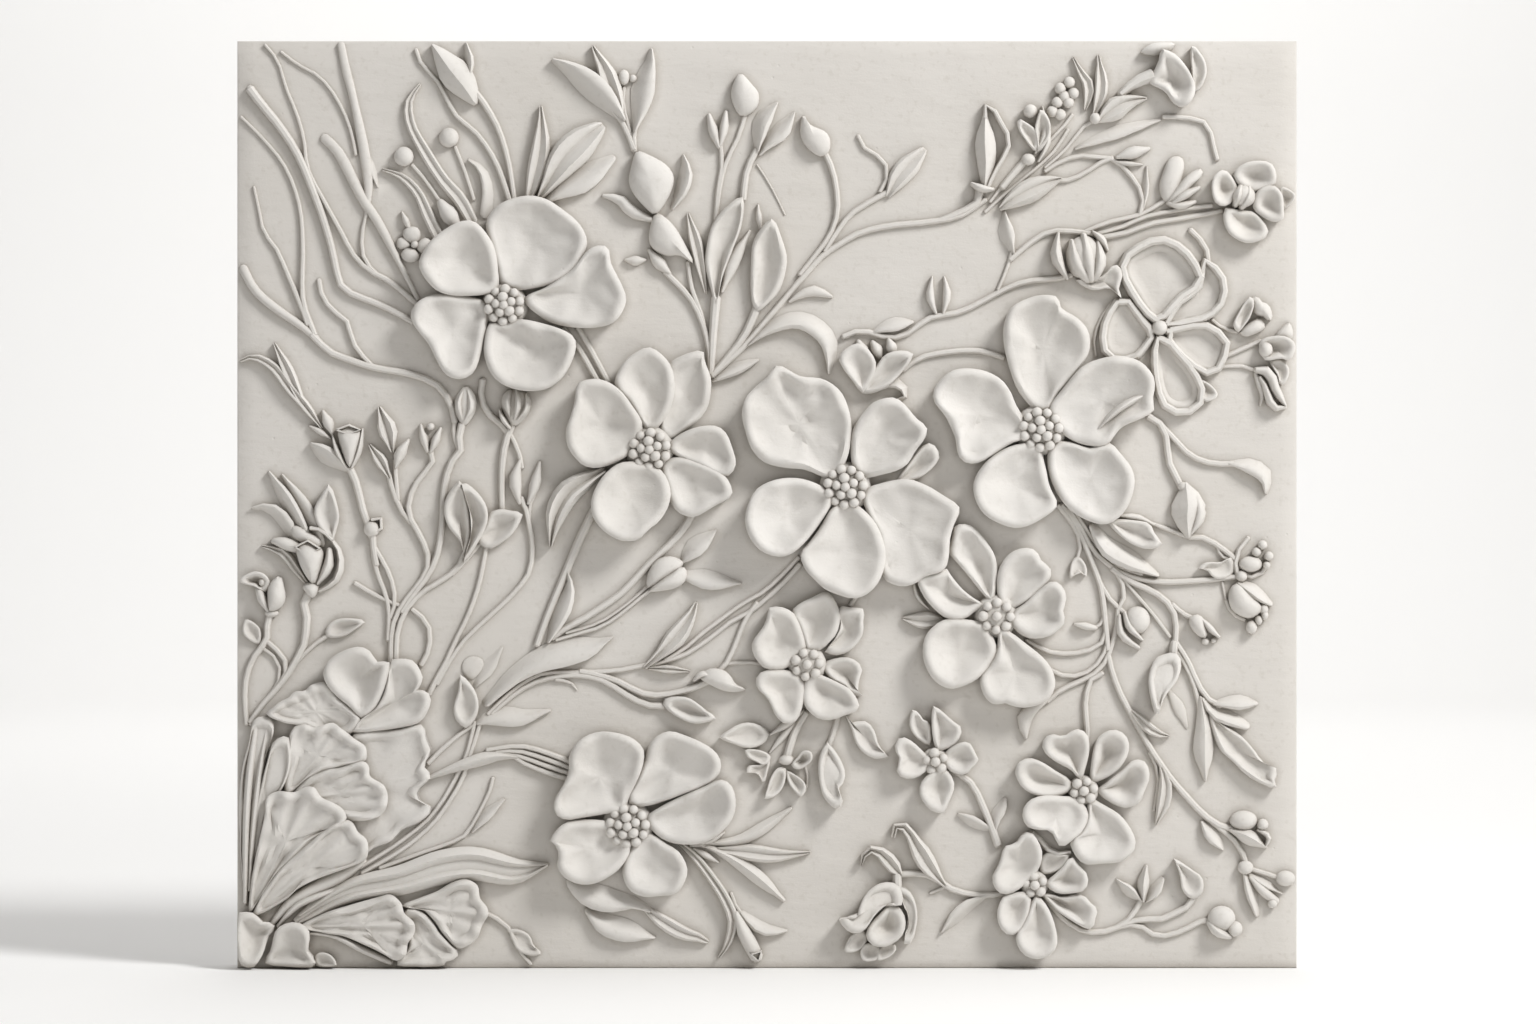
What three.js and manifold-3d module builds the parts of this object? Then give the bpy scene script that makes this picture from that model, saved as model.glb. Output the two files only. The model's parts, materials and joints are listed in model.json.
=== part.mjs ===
// Botanical relief panel: one cast plaster slab with flowers, leaves, buds and stems in relief.
// Millimetres, +Z up. The back lies in the plane Y = 0 and the relief faces -Y.
// The origin is the middle of the back, where the panel is held to a wall.

import * as THREE from 'three';
import Module from 'manifold-3d';

const wasm = await Module();
wasm.setup();

// Slab
const PANEL_WIDTH = 600;
const PANEL_HEIGHT = 525;
const PANEL_THICKNESS = 20;
const ARRIS = 1.5;

// Relief, all measured out from the ground, which is the slab's front face
const ROOT_DEPTH = 4;
const RIM_WIDTH = 4.5;
const RIM_ROLL = 1.6;
const BASE_SHARE = 0.62;
const STEM_PROUD = 0.85;
const LEAF_GROOVE = 0.45;
const EDGE_HEIGHT = 0.5;
const BEAD_PROUD = 3;

// How finely the faces follow a form
const OUTLINE_STEP = 16;
const STEM_STEP = 45;
const LEAF_STEP = 36;
const BALL_SIDES = 6;
const BOSS_LOBES = 5;
const POD_CREST = 0.62;
const BLUNT_END = 0.7;
const FOOT_DEPTH = 0.5;

// The drawing that the relief is set out on: x to the right and y down, in drawing units
const DRAWING = { left: 237, right: 1297, top: 41, bottom: 968 };
const UNIT_X = PANEL_WIDTH / (DRAWING.right - DRAWING.left);
const UNIT_Z = PANEL_HEIGHT / (DRAWING.bottom - DRAWING.top);
const UNIT = Math.min(UNIT_X, UNIT_Z);

const PLASTER = new THREE.MeshStandardMaterial({ color: 0xded8ce, roughness: 0.88, metalness: 0 });

const forms = [];

// A place on the drawing becomes millimetres on the panel's face
function place(x, y) {
  const across = (x - (DRAWING.left + DRAWING.right) / 2) * UNIT_X;
  const up = ((DRAWING.top + DRAWING.bottom) / 2 - y) * UNIT_Z;
  return new THREE.Vector2(across, up);
}

// A place on the face and a height above the ground become a point of the model
function lifted(spot, height) {
  return new THREE.Vector3(spot.x, -PANEL_THICKNESS - height, spot.y);
}

function places(numbers) {
  const spots = [];
  for (let i = 0; i < numbers.length; i += 2) {
    spots.push(place(numbers[i], numbers[i + 1]));
  }
  return spots;
}

function middle(spots) {
  const sum = spots.reduce((total, spot) => total.add(spot), spots[0].clone().multiplyScalar(0));
  return sum.divideScalar(spots.length);
}

// Leaves out the points that follow the last kept one too closely
function thinned(spots, step) {
  const kept = [spots[0]];
  for (const spot of spots.slice(1, -1)) {
    if (spot.distanceTo(kept.at(-1)) >= step && spot.distanceTo(spots.at(-1)) >= step / 2) {
      kept.push(spot);
    }
  }
  kept.push(spots.at(-1));
  return kept;
}

function signedVolume(positions, triangles) {
  const corner = (index) => new THREE.Vector3().fromArray(positions, index * 3);
  let volume = 0;
  for (let i = 0; i < triangles.length; i += 3) {
    const [a, b, c] = [corner(triangles[i]), corner(triangles[i + 1]), corner(triangles[i + 2])];
    volume += a.dot(b.cross(c)) / 6;
  }
  return volume;
}

// Joins rings of points into one closed skin, with a fan of faces on the first and last ring
function loft(rings, start = middle(rings[0]), end = middle(rings.at(-1))) {
  const sides = rings[0].length;
  const points = [...rings.flat(), start, end];
  const positions = points.flatMap((point) => [point.x, point.y, point.z]);
  const triangles = [];
  const startIndex = sides * rings.length;
  const lastRing = sides * (rings.length - 1);
  for (let j = 0; j < sides; j += 1) {
    const next = (j + 1) % sides;
    triangles.push(startIndex, next, j);
    triangles.push(startIndex + 1, lastRing + j, lastRing + next);
    for (let low = 0; low < lastRing; low += sides) {
      const high = low + sides;
      triangles.push(low + j, low + next, high + next);
      triangles.push(low + j, high + next, high + j);
    }
  }
  if (signedVolume(positions, triangles) < 0) {
    triangles.reverse();
  }
  const mesh = new wasm.Mesh({
    numProp: 3,
    vertProperties: Float32Array.from(positions),
    triVerts: Uint32Array.from(triangles),
  });
  return new wasm.Manifold(mesh);
}

// Height of a petal along its length: low where it leaves the flower, high at its tip
function petalHeight(spot, base, reach, lift, flutes, wave) {
  const share = Math.min(1, spot.distanceTo(base) / reach.length());
  const turn = Math.atan2(reach.cross(spot.clone().sub(base)), reach.dot(spot.clone().sub(base)));
  const ripple = wave * share * Math.cos(turn * flutes * 2);
  return lift * (BASE_SHARE + (1 - BASE_SHARE) * share) + ripple;
}

// A petal: rolled rim, a middle hollowed by the dish, and its base at the first point of its outline
function petal(lift, outline, dish, flutes = 0, wave = 0) {
  const edge = thinned(places(outline), OUTLINE_STEP);
  const base = edge[0];
  const heart = middle(edge);
  const reach = heart.clone().sub(base).multiplyScalar(2);
  const height = (spot) => petalHeight(spot, base, reach, lift, flutes, wave);
  const crest = edge.map((spot) => {
    const inward = heart.clone().sub(spot);
    return spot.clone().add(inward.multiplyScalar(Math.min(0.45, RIM_WIDTH / inward.length())));
  });
  const rings = [
    edge.map((spot) => lifted(spot, -ROOT_DEPTH)),
    edge.map((spot) => lifted(spot, Math.max(1, height(spot) - RIM_ROLL))),
    crest.map((spot) => lifted(spot, height(spot))),
  ];
  const hollow = Math.max(0.6, height(heart) - dish);
  forms.push(loft(rings, lifted(heart, -ROOT_DEPTH), lifted(heart, hollow)));
}

// A pod: a closed outline that swells towards its middle
function pod(lift, outline) {
  const edge = thinned(places(outline), OUTLINE_STEP);
  const heart = middle(edge);
  const crest = edge.map((spot) => spot.clone().lerp(heart, 1 - POD_CREST));
  const rings = [
    edge.map((spot) => lifted(spot, -ROOT_DEPTH)),
    edge.map((spot) => lifted(spot, lift * EDGE_HEIGHT)),
    crest.map((spot) => lifted(spot, lift * 0.92)),
  ];
  forms.push(loft(rings, lifted(heart, -ROOT_DEPTH), lifted(heart, lift)));
}

// Stations along a smooth line: the place, the direction and the width at each
function stations(line, widths, step, fewest) {
  const curve = new THREE.SplineCurve(line);
  const widthCurve = new THREE.SplineCurve(widths.map((width, i) => new THREE.Vector2(i, width)));
  const count = Math.max(fewest, Math.round(curve.getLength() / step));
  const result = [];
  for (let i = 0; i <= count; i += 1) {
    const along = i / count;
    const direction = curve.getTangent(along);
    result.push({
      spot: curve.getPoint(along),
      across: new THREE.Vector2(-direction.y, direction.x),
      width: Math.max(BLUNT_END, widthCurve.getPoint(along).y),
      along,
    });
  }
  return result;
}

// Cross-sections from the left foot to the right foot: shares of the width and of the height
const SECTIONS = {
  groove: [[-0.42, 1], [0, 1 - LEAF_GROOVE], [0.42, 1]],
  round: [[0, 1]],
  fold: [[-0.4, 1]],
};

// A rib with a given cross-section along the stations, its two feet just under the ground
function rib(places, section, heightAt) {
  const rings = places.map((station) => {
    const side = (share) => station.spot.clone().addScaledVector(station.across, share * station.width);
    const tops = section.map(([share, rise]) => lifted(side(share), heightAt(station) * rise));
    return [lifted(side(-0.52), -FOOT_DEPTH), ...tops, lifted(side(0.52), -FOOT_DEPTH)];
  });
  forms.push(loft(rings));
}

// A leaf or scale: x, y and width at a few places from its base to its tip
function leaf(lift, numbers, kind) {
  const line = [];
  const widths = [];
  for (let i = 0; i < numbers.length; i += 3) {
    line.push(place(numbers[i], numbers[i + 1]));
    widths.push(numbers[i + 2] * UNIT);
  }
  const swell = ({ along }) => lift * (0.55 + 0.45 * Math.sin(Math.PI * along));
  rib(stations(line, widths, LEAF_STEP, 2), SECTIONS[kind], swell);
}

// A stem: a rounded rib along a line, with a width at its start and at its end
function stem(startWidth, endWidth, numbers, lift = 0) {
  const line = thinned(places(numbers), STEM_STEP);
  const spans = line.length - 1;
  const widths = line.map((_, i) => UNIT * THREE.MathUtils.lerp(startWidth, endWidth, i / spans));
  const heightAt = ({ width }) => lift + width * STEM_PROUD;
  rib(stations(line, widths, STEM_STEP, spans), SECTIONS.round, heightAt);
}

// A dome with a few sides, whose radius may swell and shrink around it
function dome(spot, sides, radiusAt, lift) {
  const ring = (share, height) => {
    const points = [];
    for (let j = 0; j < sides; j += 1) {
      const turn = (2 * Math.PI * j) / sides;
      points.push(lifted(spot.clone().addScaledVector(radiusAt(turn, j), share), height));
    }
    return points;
  };
  const rings = [ring(1, -FOOT_DEPTH), ring(0.8, lift * 0.75)];
  forms.push(loft(rings, lifted(spot, -FOOT_DEPTH), lifted(spot, lift)));
}

// A ball or egg, half sunk, whose top stands out by its lift
function ball(x, y, radiusX, radiusZ, lift) {
  const radiusAt = (turn) => {
    const unscaled = new THREE.Vector2(Math.cos(turn) * radiusX, Math.sin(turn) * radiusZ);
    return unscaled.multiplyScalar(UNIT);
  };
  dome(place(x, y), BALL_SIDES, radiusAt, lift);
}

// A flower's boss: a lobed button, as a cluster of beads shows from a step away
function boss(x, y, radius, height) {
  const lobed = (turn, j) => {
    const reach = radius * UNIT - (j % 2) * BEAD_PROUD;
    return new THREE.Vector2(Math.cos(turn), Math.sin(turn)).multiplyScalar(reach);
  };
  dome(place(x, y), BOSS_LOBES * 2, lobed, height);
}

// Sprays of the upper left corner
stem(3, 6, [265,45, 278,62, 286,88, 297,115, 304,140, 308,170, 325,203, 340,230, 355,257, 372,272,
  392,283, 418,305]);
stem(9, 6, [250,89, 262,105, 280,127, 298,155, 312,188, 322,215, 331,245, 340,283, 350,293, 385,307,
  413,322]);
stem(3, 6, [241,117, 262,138, 282,162, 294,187, 301,215, 303,250, 303,300, 315,335]);
leaf(3, [341,45,8, 346,70,9, 353,97,8, 364,150,10, 368,180,11, 368,200,9, 366,218,4], 'round');
leaf(3.5, [324,138,10, 340,155,11, 362,198,10, 378,222,9, 397,258,6, 418,300,5], 'round');
leaf(4, [420,85,3, 409,102,9, 411,125,10, 425,152,12, 443,180,12, 460,200,14, 472,222,12], 'groove');
leaf(4, [383,170,3, 402,177,8, 418,193,10, 428,215,12, 440,240,12], 'groove');
leaf(4, [469,160,3, 482,170,9, 488,190,11, 486,215,12], 'fold');
stem(4, 6, [416,50, 422,65, 438,82, 448,102, 457,117, 476,133, 490,152, 500,172, 511,205]);
leaf(9, [475,103,8, 466,88,26, 450,68,31, 438,52,20, 433,46,4], 'round');

// Leaves and buds above the first flower
leaf(6, [527,206,5, 536,175,16, 541,150,20, 542,125,13, 541,107,3], 'groove');
leaf(10, [540,198,6, 552,180,20, 565,160,33, 582,143,32, 600,128,14], 'groove');
leaf(7, [545,203,5, 562,190,18, 580,182,25, 598,169,22, 613,158,8], 'fold');
leaf(8, [624,121,5, 608,102,20, 590,85,26, 570,70,18, 553,61,4], 'fold');
leaf(6, [622,114,4, 612,90,18, 605,70,20, 597,55,12, 593,47,3], 'groove');
leaf(7, [634,132,4, 640,108,16, 644,85,24, 650,63,16, 651,50,4], 'fold');
pod(12, [645,208, 634,195, 629,182, 632,165, 637,152, 652,157, 667,166, 674,178, 671,193, 663,207,
  655,215]);
leaf(8, [672,209,4, 682,190,13, 686,172,14, 683,156,3], 'fold');
leaf(6, [654,221,5, 632,212,12, 620,200,11, 603,196,4], 'round');
pod(9, [649,235, 655,214, 668,220, 678,232, 688,250, 694,264, 680,256, 665,256, 652,248]);
leaf(5, [706,293,3, 700,262,11, 695,240,13, 688,214,3], 'groove');
pod(8, [740,116, 732,102, 732,88, 740,74, 752,85, 759,95, 757,108, 749,115]);
leaf(7, [757,152,4, 759,135,15, 763,120,17, 777,103,3], 'fold');
leaf(6, [759,155,4, 768,143,14, 780,133,17, 794,113,3], 'fold');
petal(8, [716,308, 710,288, 705,265, 708,240, 714,222, 728,206, 743,198, 742,225, 733,250, 722,280], 3);
leaf(5, [722,292,4, 735,258,14, 750,231,3], 'round');
petal(9, [757,313, 751,300, 751,265, 753,243, 762,228, 773,220, 782,240, 787,262, 780,290, 765,308], 4,
  2, 1);

// Long branch between the first and the fourth flower
pod(7, [820,157, 806,147, 800,133, 803,115, 810,125, 825,132, 830,140, 829,152]);
stem(6, 6, [825,153, 833,172, 837,195, 837,215, 830,235, 818,252, 800,275]);
leaf(5, [888,196,6, 900,176,20, 912,163,22, 923,151,9], 'groove');
stem(7, 6, [712,376, 745,345, 775,310, 805,275, 820,258, 835,247, 860,233, 890,226, 930,222, 960,216,
  985,200]);
leaf(9, [984,192,5, 986,165,17, 985,140,20, 985,115,4], 'round');

// Bundle of the upper right corner
leaf(5, [1092,120,3, 1101,90,14, 1098,56,3], 'groove');
leaf(7, [1098,122,4, 1120,106,24, 1134,101,15, 1146,99,3], 'groove');
leaf(4, [1075,149,3, 1115,133,14, 1160,120,3], 'fold');
petal(12, [1155,88, 1147,82, 1153,72, 1158,60, 1160,51, 1176,58, 1189,76, 1194,92, 1188,105, 1179,109,
  1171,103, 1164,93], 5);
petal(8, [1192,88, 1190,48, 1198,53, 1205,65, 1205,78, 1198,92], 2, 3, 0.8);
leaf(7, [1000,209,5, 1015,199,18, 1032,190,24, 1046,184,18, 1061,179,3], 'groove');
petal(10, [1170,200, 1163,200, 1160,190, 1163,175, 1170,158, 1181,157, 1183,168, 1180,187], 3);
ball(1084, 258, 19, 22, 11);
petal(8, [1085,288, 1075,280, 1100,277, 1113,265, 1122,273, 1118,290, 1122,300, 1110,289, 1095,291], 2);
petal(10, [1244,192, 1232,176, 1240,166, 1255,162, 1270,165, 1275,178, 1272,187, 1258,192], 4);
petal(10, [1237,191, 1232,201, 1225,207, 1215,205, 1210,192, 1212,178, 1222,171, 1231,178], 4);
petal(11, [1252,208, 1255,193, 1270,186, 1280,195, 1282,210, 1281,221, 1271,223, 1260,217], 4);
petal(9, [1244,211, 1234,210, 1225,208, 1222,220, 1228,235, 1245,244, 1262,240, 1267,232, 1262,222,
  1254,213], 4);
ball(1243, 197, 12, 11, 11);

// Open flower of the upper right, whose petals are hollow down to the ground
petal(10, [1158,322, 1145,312, 1130,290, 1122,272, 1125,258, 1140,247, 1160,240, 1180,248, 1193,263,
  1200,277, 1196,287, 1180,298, 1164,316], 7.5);
petal(9, [1166,324, 1178,303, 1198,288, 1203,262, 1216,270, 1224,285, 1220,305, 1205,318, 1188,322], 7);
petal(9, [1166,332, 1185,327, 1202,325, 1216,331, 1227,345, 1223,358, 1215,372, 1203,372, 1188,362,
  1174,348], 7);
petal(11, [1158,338, 1168,342, 1180,356, 1192,370, 1201,388, 1201,400, 1194,409, 1182,413, 1168,409,
  1160,398, 1155,375, 1154,352], 7.5);
petal(8, [1152,333, 1140,318, 1127,301, 1117,302, 1108,315, 1103,330, 1103,345, 1108,357, 1122,360,
  1136,357, 1146,345], 6);

// Leaves and buds of the left side
leaf(4, [243,268,9, 255,290,9, 275,308,9, 300,325,8, 317,339,7], 'round');
stem(7, 7, [312,335, 330,352, 350,360, 375,368, 400,372, 420,377, 437,385, 450,402, 455,422]);
leaf(5, [322,428,3, 305,405,9, 290,388,10, 275,368,10, 255,357,8, 241,361,3], 'groove');
leaf(5, [310,414,3, 300,398,10, 290,375,12, 275,344,3], 'groove');
pod(9, [350,468, 342,450, 338,432, 343,427, 356,427, 362,434, 358,455]);
leaf(7, [349,471,4, 338,463,14, 328,456,18, 311,444,4], 'fold');
leaf(8, [393,452,4, 388,430,20, 380,408,4], 'groove');
stem(6, 6, [430,449, 433,460, 425,472, 415,485, 410,498, 409,515, 421,537, 428,555, 427,570, 420,582,
  408,597, 398,612, 392,630, 391,662]);
pod(6, [463,426, 456,414, 455,401, 460,391, 466,386, 473,391, 477,401, 475,413, 468,424]);
stem(8, 6, [462,424, 459,438, 461,449, 450,465, 444,490, 443,515, 441,535, 438,552, 432,568, 425,580,
  412,597, 402,612]);
pod(8, [512,426, 505,416, 502,404, 504,394, 513,389, 524,391, 531,400, 529,412, 521,423]);
stem(6, 5, [521,498, 526,510, 529,525, 532,540, 532,555, 530,570, 523,582, 510,597, 495,611, 470,634,
  459,647, 449,662, 437,684]);
petal(9, [465,557, 461,542, 450,528, 445,515, 446,500, 453,488, 462,481, 467,497, 470,515, 471,537], 3);
petal(11, [464,563, 471,540, 471,515, 466,496, 463,482, 475,489, 486,503, 489,518, 484,533, 474,550],
  3);
stem(6, 6, [465,553, 461,563, 452,573, 437,583, 425,590, 412,602, 402,618, 397,635, 396,662]);
stem(5, 6, [488,538, 484,560, 480,580, 474,600, 466,620, 456,640, 447,660, 437,678, 429,694]);

// Large tulip of the left side with the leaves around it
leaf(5, [296,545,5, 286,522,14, 270,508,12, 253,508,3], 'fold');
leaf(6, [310,545,8, 299,521,13, 285,497,14, 269,472,3], 'fold');
leaf(5, [322,545,8, 311,518,14, 297,497,14, 282,475,3], 'fold');
petal(8, [334,542, 322,532, 316,518, 316,506, 322,496, 330,484, 336,496, 340,512, 340,520, 336,533], 2,
  1, 1.5);
pod(12, [313,584, 303,570, 298,556, 297,546, 306,541, 318,546, 324,552, 323,566, 318,581]);
stem(9, 6, [310,592, 304,602, 307,617, 306,632, 304,645, 299,655, 289,672, 278,687, 262,705, 250,722]);
petal(5, [326,637, 325,632, 328,625, 337,619, 352,618, 366,621, 355,630, 345,636, 334,638], 2);
pod(10, [270,611, 268,592, 271,582, 281,576, 285,589, 286,597, 282,607]);

// First flower
petal(15, [487,303, 470,297, 450,294, 430,297, 417,305, 412,317, 418,330, 430,345, 440,365, 448,376,
  462,380, 475,373, 482,355, 486,335, 489,318], 4);
petal(18, [497,292, 499,270, 496,250, 490,238, 480,226, 470,222, 455,226, 435,240, 424,255, 421,268,
  430,284, 443,294, 465,297], 5);
petal(14, [506,290, 496,268, 491,250, 487,225, 495,210, 510,201, 530,197, 548,201, 565,212, 580,225,
  588,242, 583,258, 570,275, 545,287], 4);
petal(16, [524,300, 548,287, 572,270, 590,250, 608,248, 612,265, 622,285, 627,300, 622,315, 612,325,
  590,329, 565,327, 545,320], 4);
petal(18, [503,324, 490,324, 485,345, 487,362, 495,378, 510,388, 530,392, 550,389, 565,377, 575,358,
  577,343, 570,334, 550,326, 522,320], 5);
boss(505, 306, 18, 13);

// Second flower
petal(17, [636,448, 620,461, 600,468, 585,466, 575,457, 568,445, 567,430, 572,415, 576,400, 578,385,
  590,380, 605,381, 620,390, 632,405, 643,425], 5);
petal(14, [648,432, 630,405, 617,392, 616,378, 625,362, 638,352, 650,348, 662,355, 672,368, 675,388,
  671,408, 660,426], 4);
petal(10, [660,432, 664,405, 666,385, 668,366, 680,357, 702,351, 705,362, 711,378, 711,392, 708,407,
  700,419, 685,431, 670,440], 3);
petal(14, [668,448, 676,437, 695,428, 715,426, 726,433, 732,447, 736,465, 725,477, 700,466, 680,458],
  4);
petal(15, [662,464, 680,457, 700,463, 722,473, 732,488, 730,498, 715,506, 700,515, 690,517, 676,510,
  666,490], 4);
petal(19, [650,464, 625,462, 610,470, 598,485, 592,502, 594,517, 605,531, 618,539, 628,541, 640,539,
  650,529, 660,521, 669,506, 671,490, 664,473], 5);
leaf(12, [604,470,8, 585,481,20, 568,493,25, 556,515,17, 551,546,3], 'groove');
boss(650, 450, 19, 13);
stem(9, 7, [594,510, 583,532, 575,550, 566,572, 554,600, 546,620, 537,645]);
stem(8, 7, [693,512, 684,528, 669,545, 651,562, 636,578, 619,595, 600,608, 585,618, 567,627, 552,638]);

// Third flower, the largest
petal(18, [836,478, 825,478, 805,470, 785,468, 765,463, 752,450, 745,430, 742,415, 745,400, 755,388,
  768,377, 778,366, 800,377, 820,379, 835,387, 845,400, 851,425, 848,455], 5, 3, 1);
petal(16, [856,476, 850,440, 858,420, 870,405, 880,400, 892,398, 902,403, 915,418, 926,428, 924,439,
  915,451, 905,466, 885,474], 4);
petal(9, [895,484, 908,464, 920,448, 929,443, 936,448, 939,458, 930,470, 915,480], 3);
petal(15, [862,492, 878,484, 905,479, 925,485, 942,495, 959,508, 953,525, 949,540, 948,556, 943,570,
  925,576, 915,583, 900,586, 884,579, 878,560, 876,535, 866,512], 4, 2, 1);
petal(18, [846,500, 832,507, 818,530, 808,543, 800,553, 805,569, 815,580, 825,589, 840,595, 853,598,
  866,594, 877,583, 883,570, 885,553, 881,535, 873,520, 860,507], 5);
petal(20, [833,494, 815,483, 795,478, 775,480, 758,488, 749,502, 745,520, 749,536, 758,548, 770,555,
  785,556, 798,549, 811,535, 822,520, 831,505], 5);
boss(845, 487, 20, 14);
stem(5, 5, [799,557, 780,577, 763,592, 742,604, 720,620, 700,635, 685,648, 665,660]);
stem(6, 5, [800,564, 784,582, 768,597, 750,612, 733,620, 715,634, 700,645, 683,655, 650,666]);

// Leaves and buds around the third flower
leaf(7, [748,345,3, 768,329,12, 795,320,17, 817,328,19, 830,346,16, 829,374,3], 'fold');
petal(11, [863,394, 852,381, 842,368, 839,356, 855,344, 868,350, 876,365, 871,381], 3);
petal(10, [862,394, 868,378, 877,365, 885,355, 900,351, 913,356, 896,379, 880,391], 3);
stem(6, 6, [843,337, 860,331, 875,334, 888,338, 905,335, 930,318, 960,312, 985,300, 1010,287, 1030,281,
  1055,279, 1072,275]);

// Fourth flower with the buds of the right edge
petal(17, [1026,424, 1015,405, 1010,393, 1000,380, 985,372, 965,369, 948,373, 934,388, 933,402, 945,418,
  954,438, 957,455, 965,463, 978,463, 992,455, 1010,444, 1024,438], 5);
petal(14, [1036,412, 1018,392, 1009,370, 1003,345, 1003,325, 1010,309, 1025,300, 1040,296, 1056,298,
  1060,309, 1075,318, 1086,330, 1089,345, 1085,359, 1070,378, 1056,395, 1048,410], 5);
petal(16, [1050,424, 1048,408, 1060,391, 1080,368, 1100,359, 1120,357, 1138,362, 1150,375, 1153,387,
  1151,400, 1152,411, 1140,419, 1120,428, 1105,446, 1088,446, 1070,440], 4, 1, 1.5);
petal(15, [1050,443, 1070,442, 1090,448, 1108,443, 1120,455, 1130,468, 1133,482, 1129,500, 1120,515,
  1106,524, 1090,522, 1070,511, 1055,492, 1047,468], 4);
petal(17, [1036,444, 1044,465, 1048,485, 1056,504, 1046,515, 1026,526, 1008,527, 985,516, 974,499,
  973,481, 985,462, 1008,447], 5);
boss(1040, 430, 20, 13);
leaf(6, [1229,463,4, 1250,466,15, 1265,476,16, 1266,493,4], 'fold');
petal(9, [1259,352, 1258,344, 1262,336, 1275,333, 1288,322, 1294,333, 1294,346, 1290,355, 1275,359], 3,
  2, 1);

// Branch with long leaves under the second flower
petal(7, [476,540, 485,526, 488,516, 493,511, 503,509, 513,511, 523,513, 520,523, 512,535, 500,544,
  488,549], 3);
leaf(7, [548,642,4, 557,622,13, 565,603,18, 569,586,13, 567,572,3], 'fold');
pod(8, [648,588, 647,577, 652,565, 660,558, 670,556, 680,559, 684,564, 676,572, 662,581]);
pod(9, [649,591, 660,580, 675,570, 682,566, 687,571, 686,580, 680,586, 668,590]);
leaf(6, [682,562,4, 692,550,19, 703,541,16, 716,530,2], 'fold');
leaf(6, [685,575,10, 700,578,20, 716,581,15, 741,583,2], 'fold');
leaf(8, [486,703,9, 499,690,14, 515,675,19, 540,660,25, 566,652,28, 592,646,21, 612,637,2], 'fold');
stem(5, 5, [648,664, 620,670, 590,672, 560,672, 540,674, 520,685, 505,697, 488,714]);
leaf(7, [645,667,5, 662,652,11, 680,632,21, 692,613,15, 696,603,4], 'groove');
pod(9, [700,678, 706,670, 714,668, 724,670, 731,676, 736,684, 746,689, 735,692, 722,690, 711,685]);
stem(7, 6, [708,681, 690,689, 670,694, 650,695, 635,690, 620,682, 600,675, 580,671]);
stem(7, 5, [664,706, 648,705, 632,698, 615,687, 600,679, 580,675, 560,676, 540,680, 520,690, 505,702,
  492,714]);
petal(8, [662,704, 665,698, 676,696, 688,697, 698,703, 708,711, 717,717, 706,722, 693,723, 680,718,
  669,711], 4);
leaf(5, [477,722,6, 497,716,18, 522,717,20, 538,713,12, 550,710,3], 'fold');
petal(7, [466,729, 458,722, 454,713, 455,702, 459,690, 461,674, 468,680, 475,689, 479,701, 478,713,
  473,723], 2);

// Fifth flower and the stems that hang from it
petal(12, [800,657, 806,650, 805,640, 800,625, 795,614, 788,609, 778,606, 768,608, 767,617, 762,628,
  753,640, 752,650, 757,660, 765,668, 778,670, 790,666], 4);
petal(11, [807,652, 803,638, 798,624, 791,612, 800,603, 812,597, 825,591, 832,596, 838,607, 840,618,
  837,632, 830,641, 820,650], 4);
petal(9, [824,652, 833,640, 840,625, 838,607, 850,607, 864,609, 863,618, 863,632, 858,642, 850,650,
  838,655], 3);
petal(8, [822,664, 835,658, 848,657, 858,662, 862,670, 859,679, 858,690, 862,696, 852,694, 845,686,
  830,678], 5);
petal(12, [812,672, 825,676, 838,682, 849,688, 856,697, 859,706, 855,711, 843,715, 832,719, 819,718,
  809,711, 803,702, 802,691, 805,679], 4);
petal(12, [800,675, 790,670, 775,669, 762,671, 756,678, 757,687, 765,695, 770,702, 774,712, 780,720,
  787,723, 796,720, 801,710, 804,698, 805,685], 4);
boss(807, 664, 15, 10);
petal(7, [770,734, 762,726, 750,722, 738,724, 728,730, 719,737, 735,744, 750,748, 764,743], 2);
petal(10, [827,741, 820,753, 818,768, 820,785, 824,797, 831,805, 838,808, 842,803, 842,796, 838,789,
  843,782, 845,772, 841,760, 834,749], 0.5, 1, 1.5);
petal(6, [843,712, 852,722, 861,720, 869,723, 875,732, 878,743, 884,752, 890,756, 878,759, 864,753,
  855,741, 851,728], 2);

// Sixth flower
petal(11, [992,603, 980,591, 968,576, 957,563, 948,552, 951,538, 954,526, 965,524, 975,529, 986,542,
  994,555, 997,570, 996,585], 4);
petal(13, [984,605, 975,611, 965,618, 955,620, 944,617, 934,609, 925,599, 918,586, 917,577, 928,573,
  945,568, 951,576, 961,588, 972,597], 4);
leaf(5, [941,620,8, 930,620,18, 917,620,13, 903,618,3], 'groove');
petal(14, [982,622, 988,629, 994,640, 996,650, 991,662, 983,673, 970,682, 952,688, 939,684, 929,674,
  923,660, 922,648, 925,635, 935,624, 948,618, 965,619], 5);
petal(11, [1003,612, 998,600, 996,585, 998,569, 1006,556, 1017,549, 1030,548, 1037,553, 1041,561,
  1049,567, 1050,576, 1046,584, 1040,589, 1028,600, 1013,609], 4);
petal(12, [1008,615, 1025,602, 1038,589, 1050,581, 1058,583, 1064,591, 1065,600, 1062,610, 1064,621,
  1058,629, 1050,635, 1038,638, 1025,637, 1013,628], 4);
petal(15, [998,626, 1012,633, 1025,643, 1040,655, 1050,667, 1054,680, 1052,691, 1045,700, 1030,706,
  1015,706, 1003,702, 995,704, 987,700, 981,690, 979,677, 985,668, 993,657, 997,643], 4, 2, 1);
boss(996, 616, 17, 11);

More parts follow.
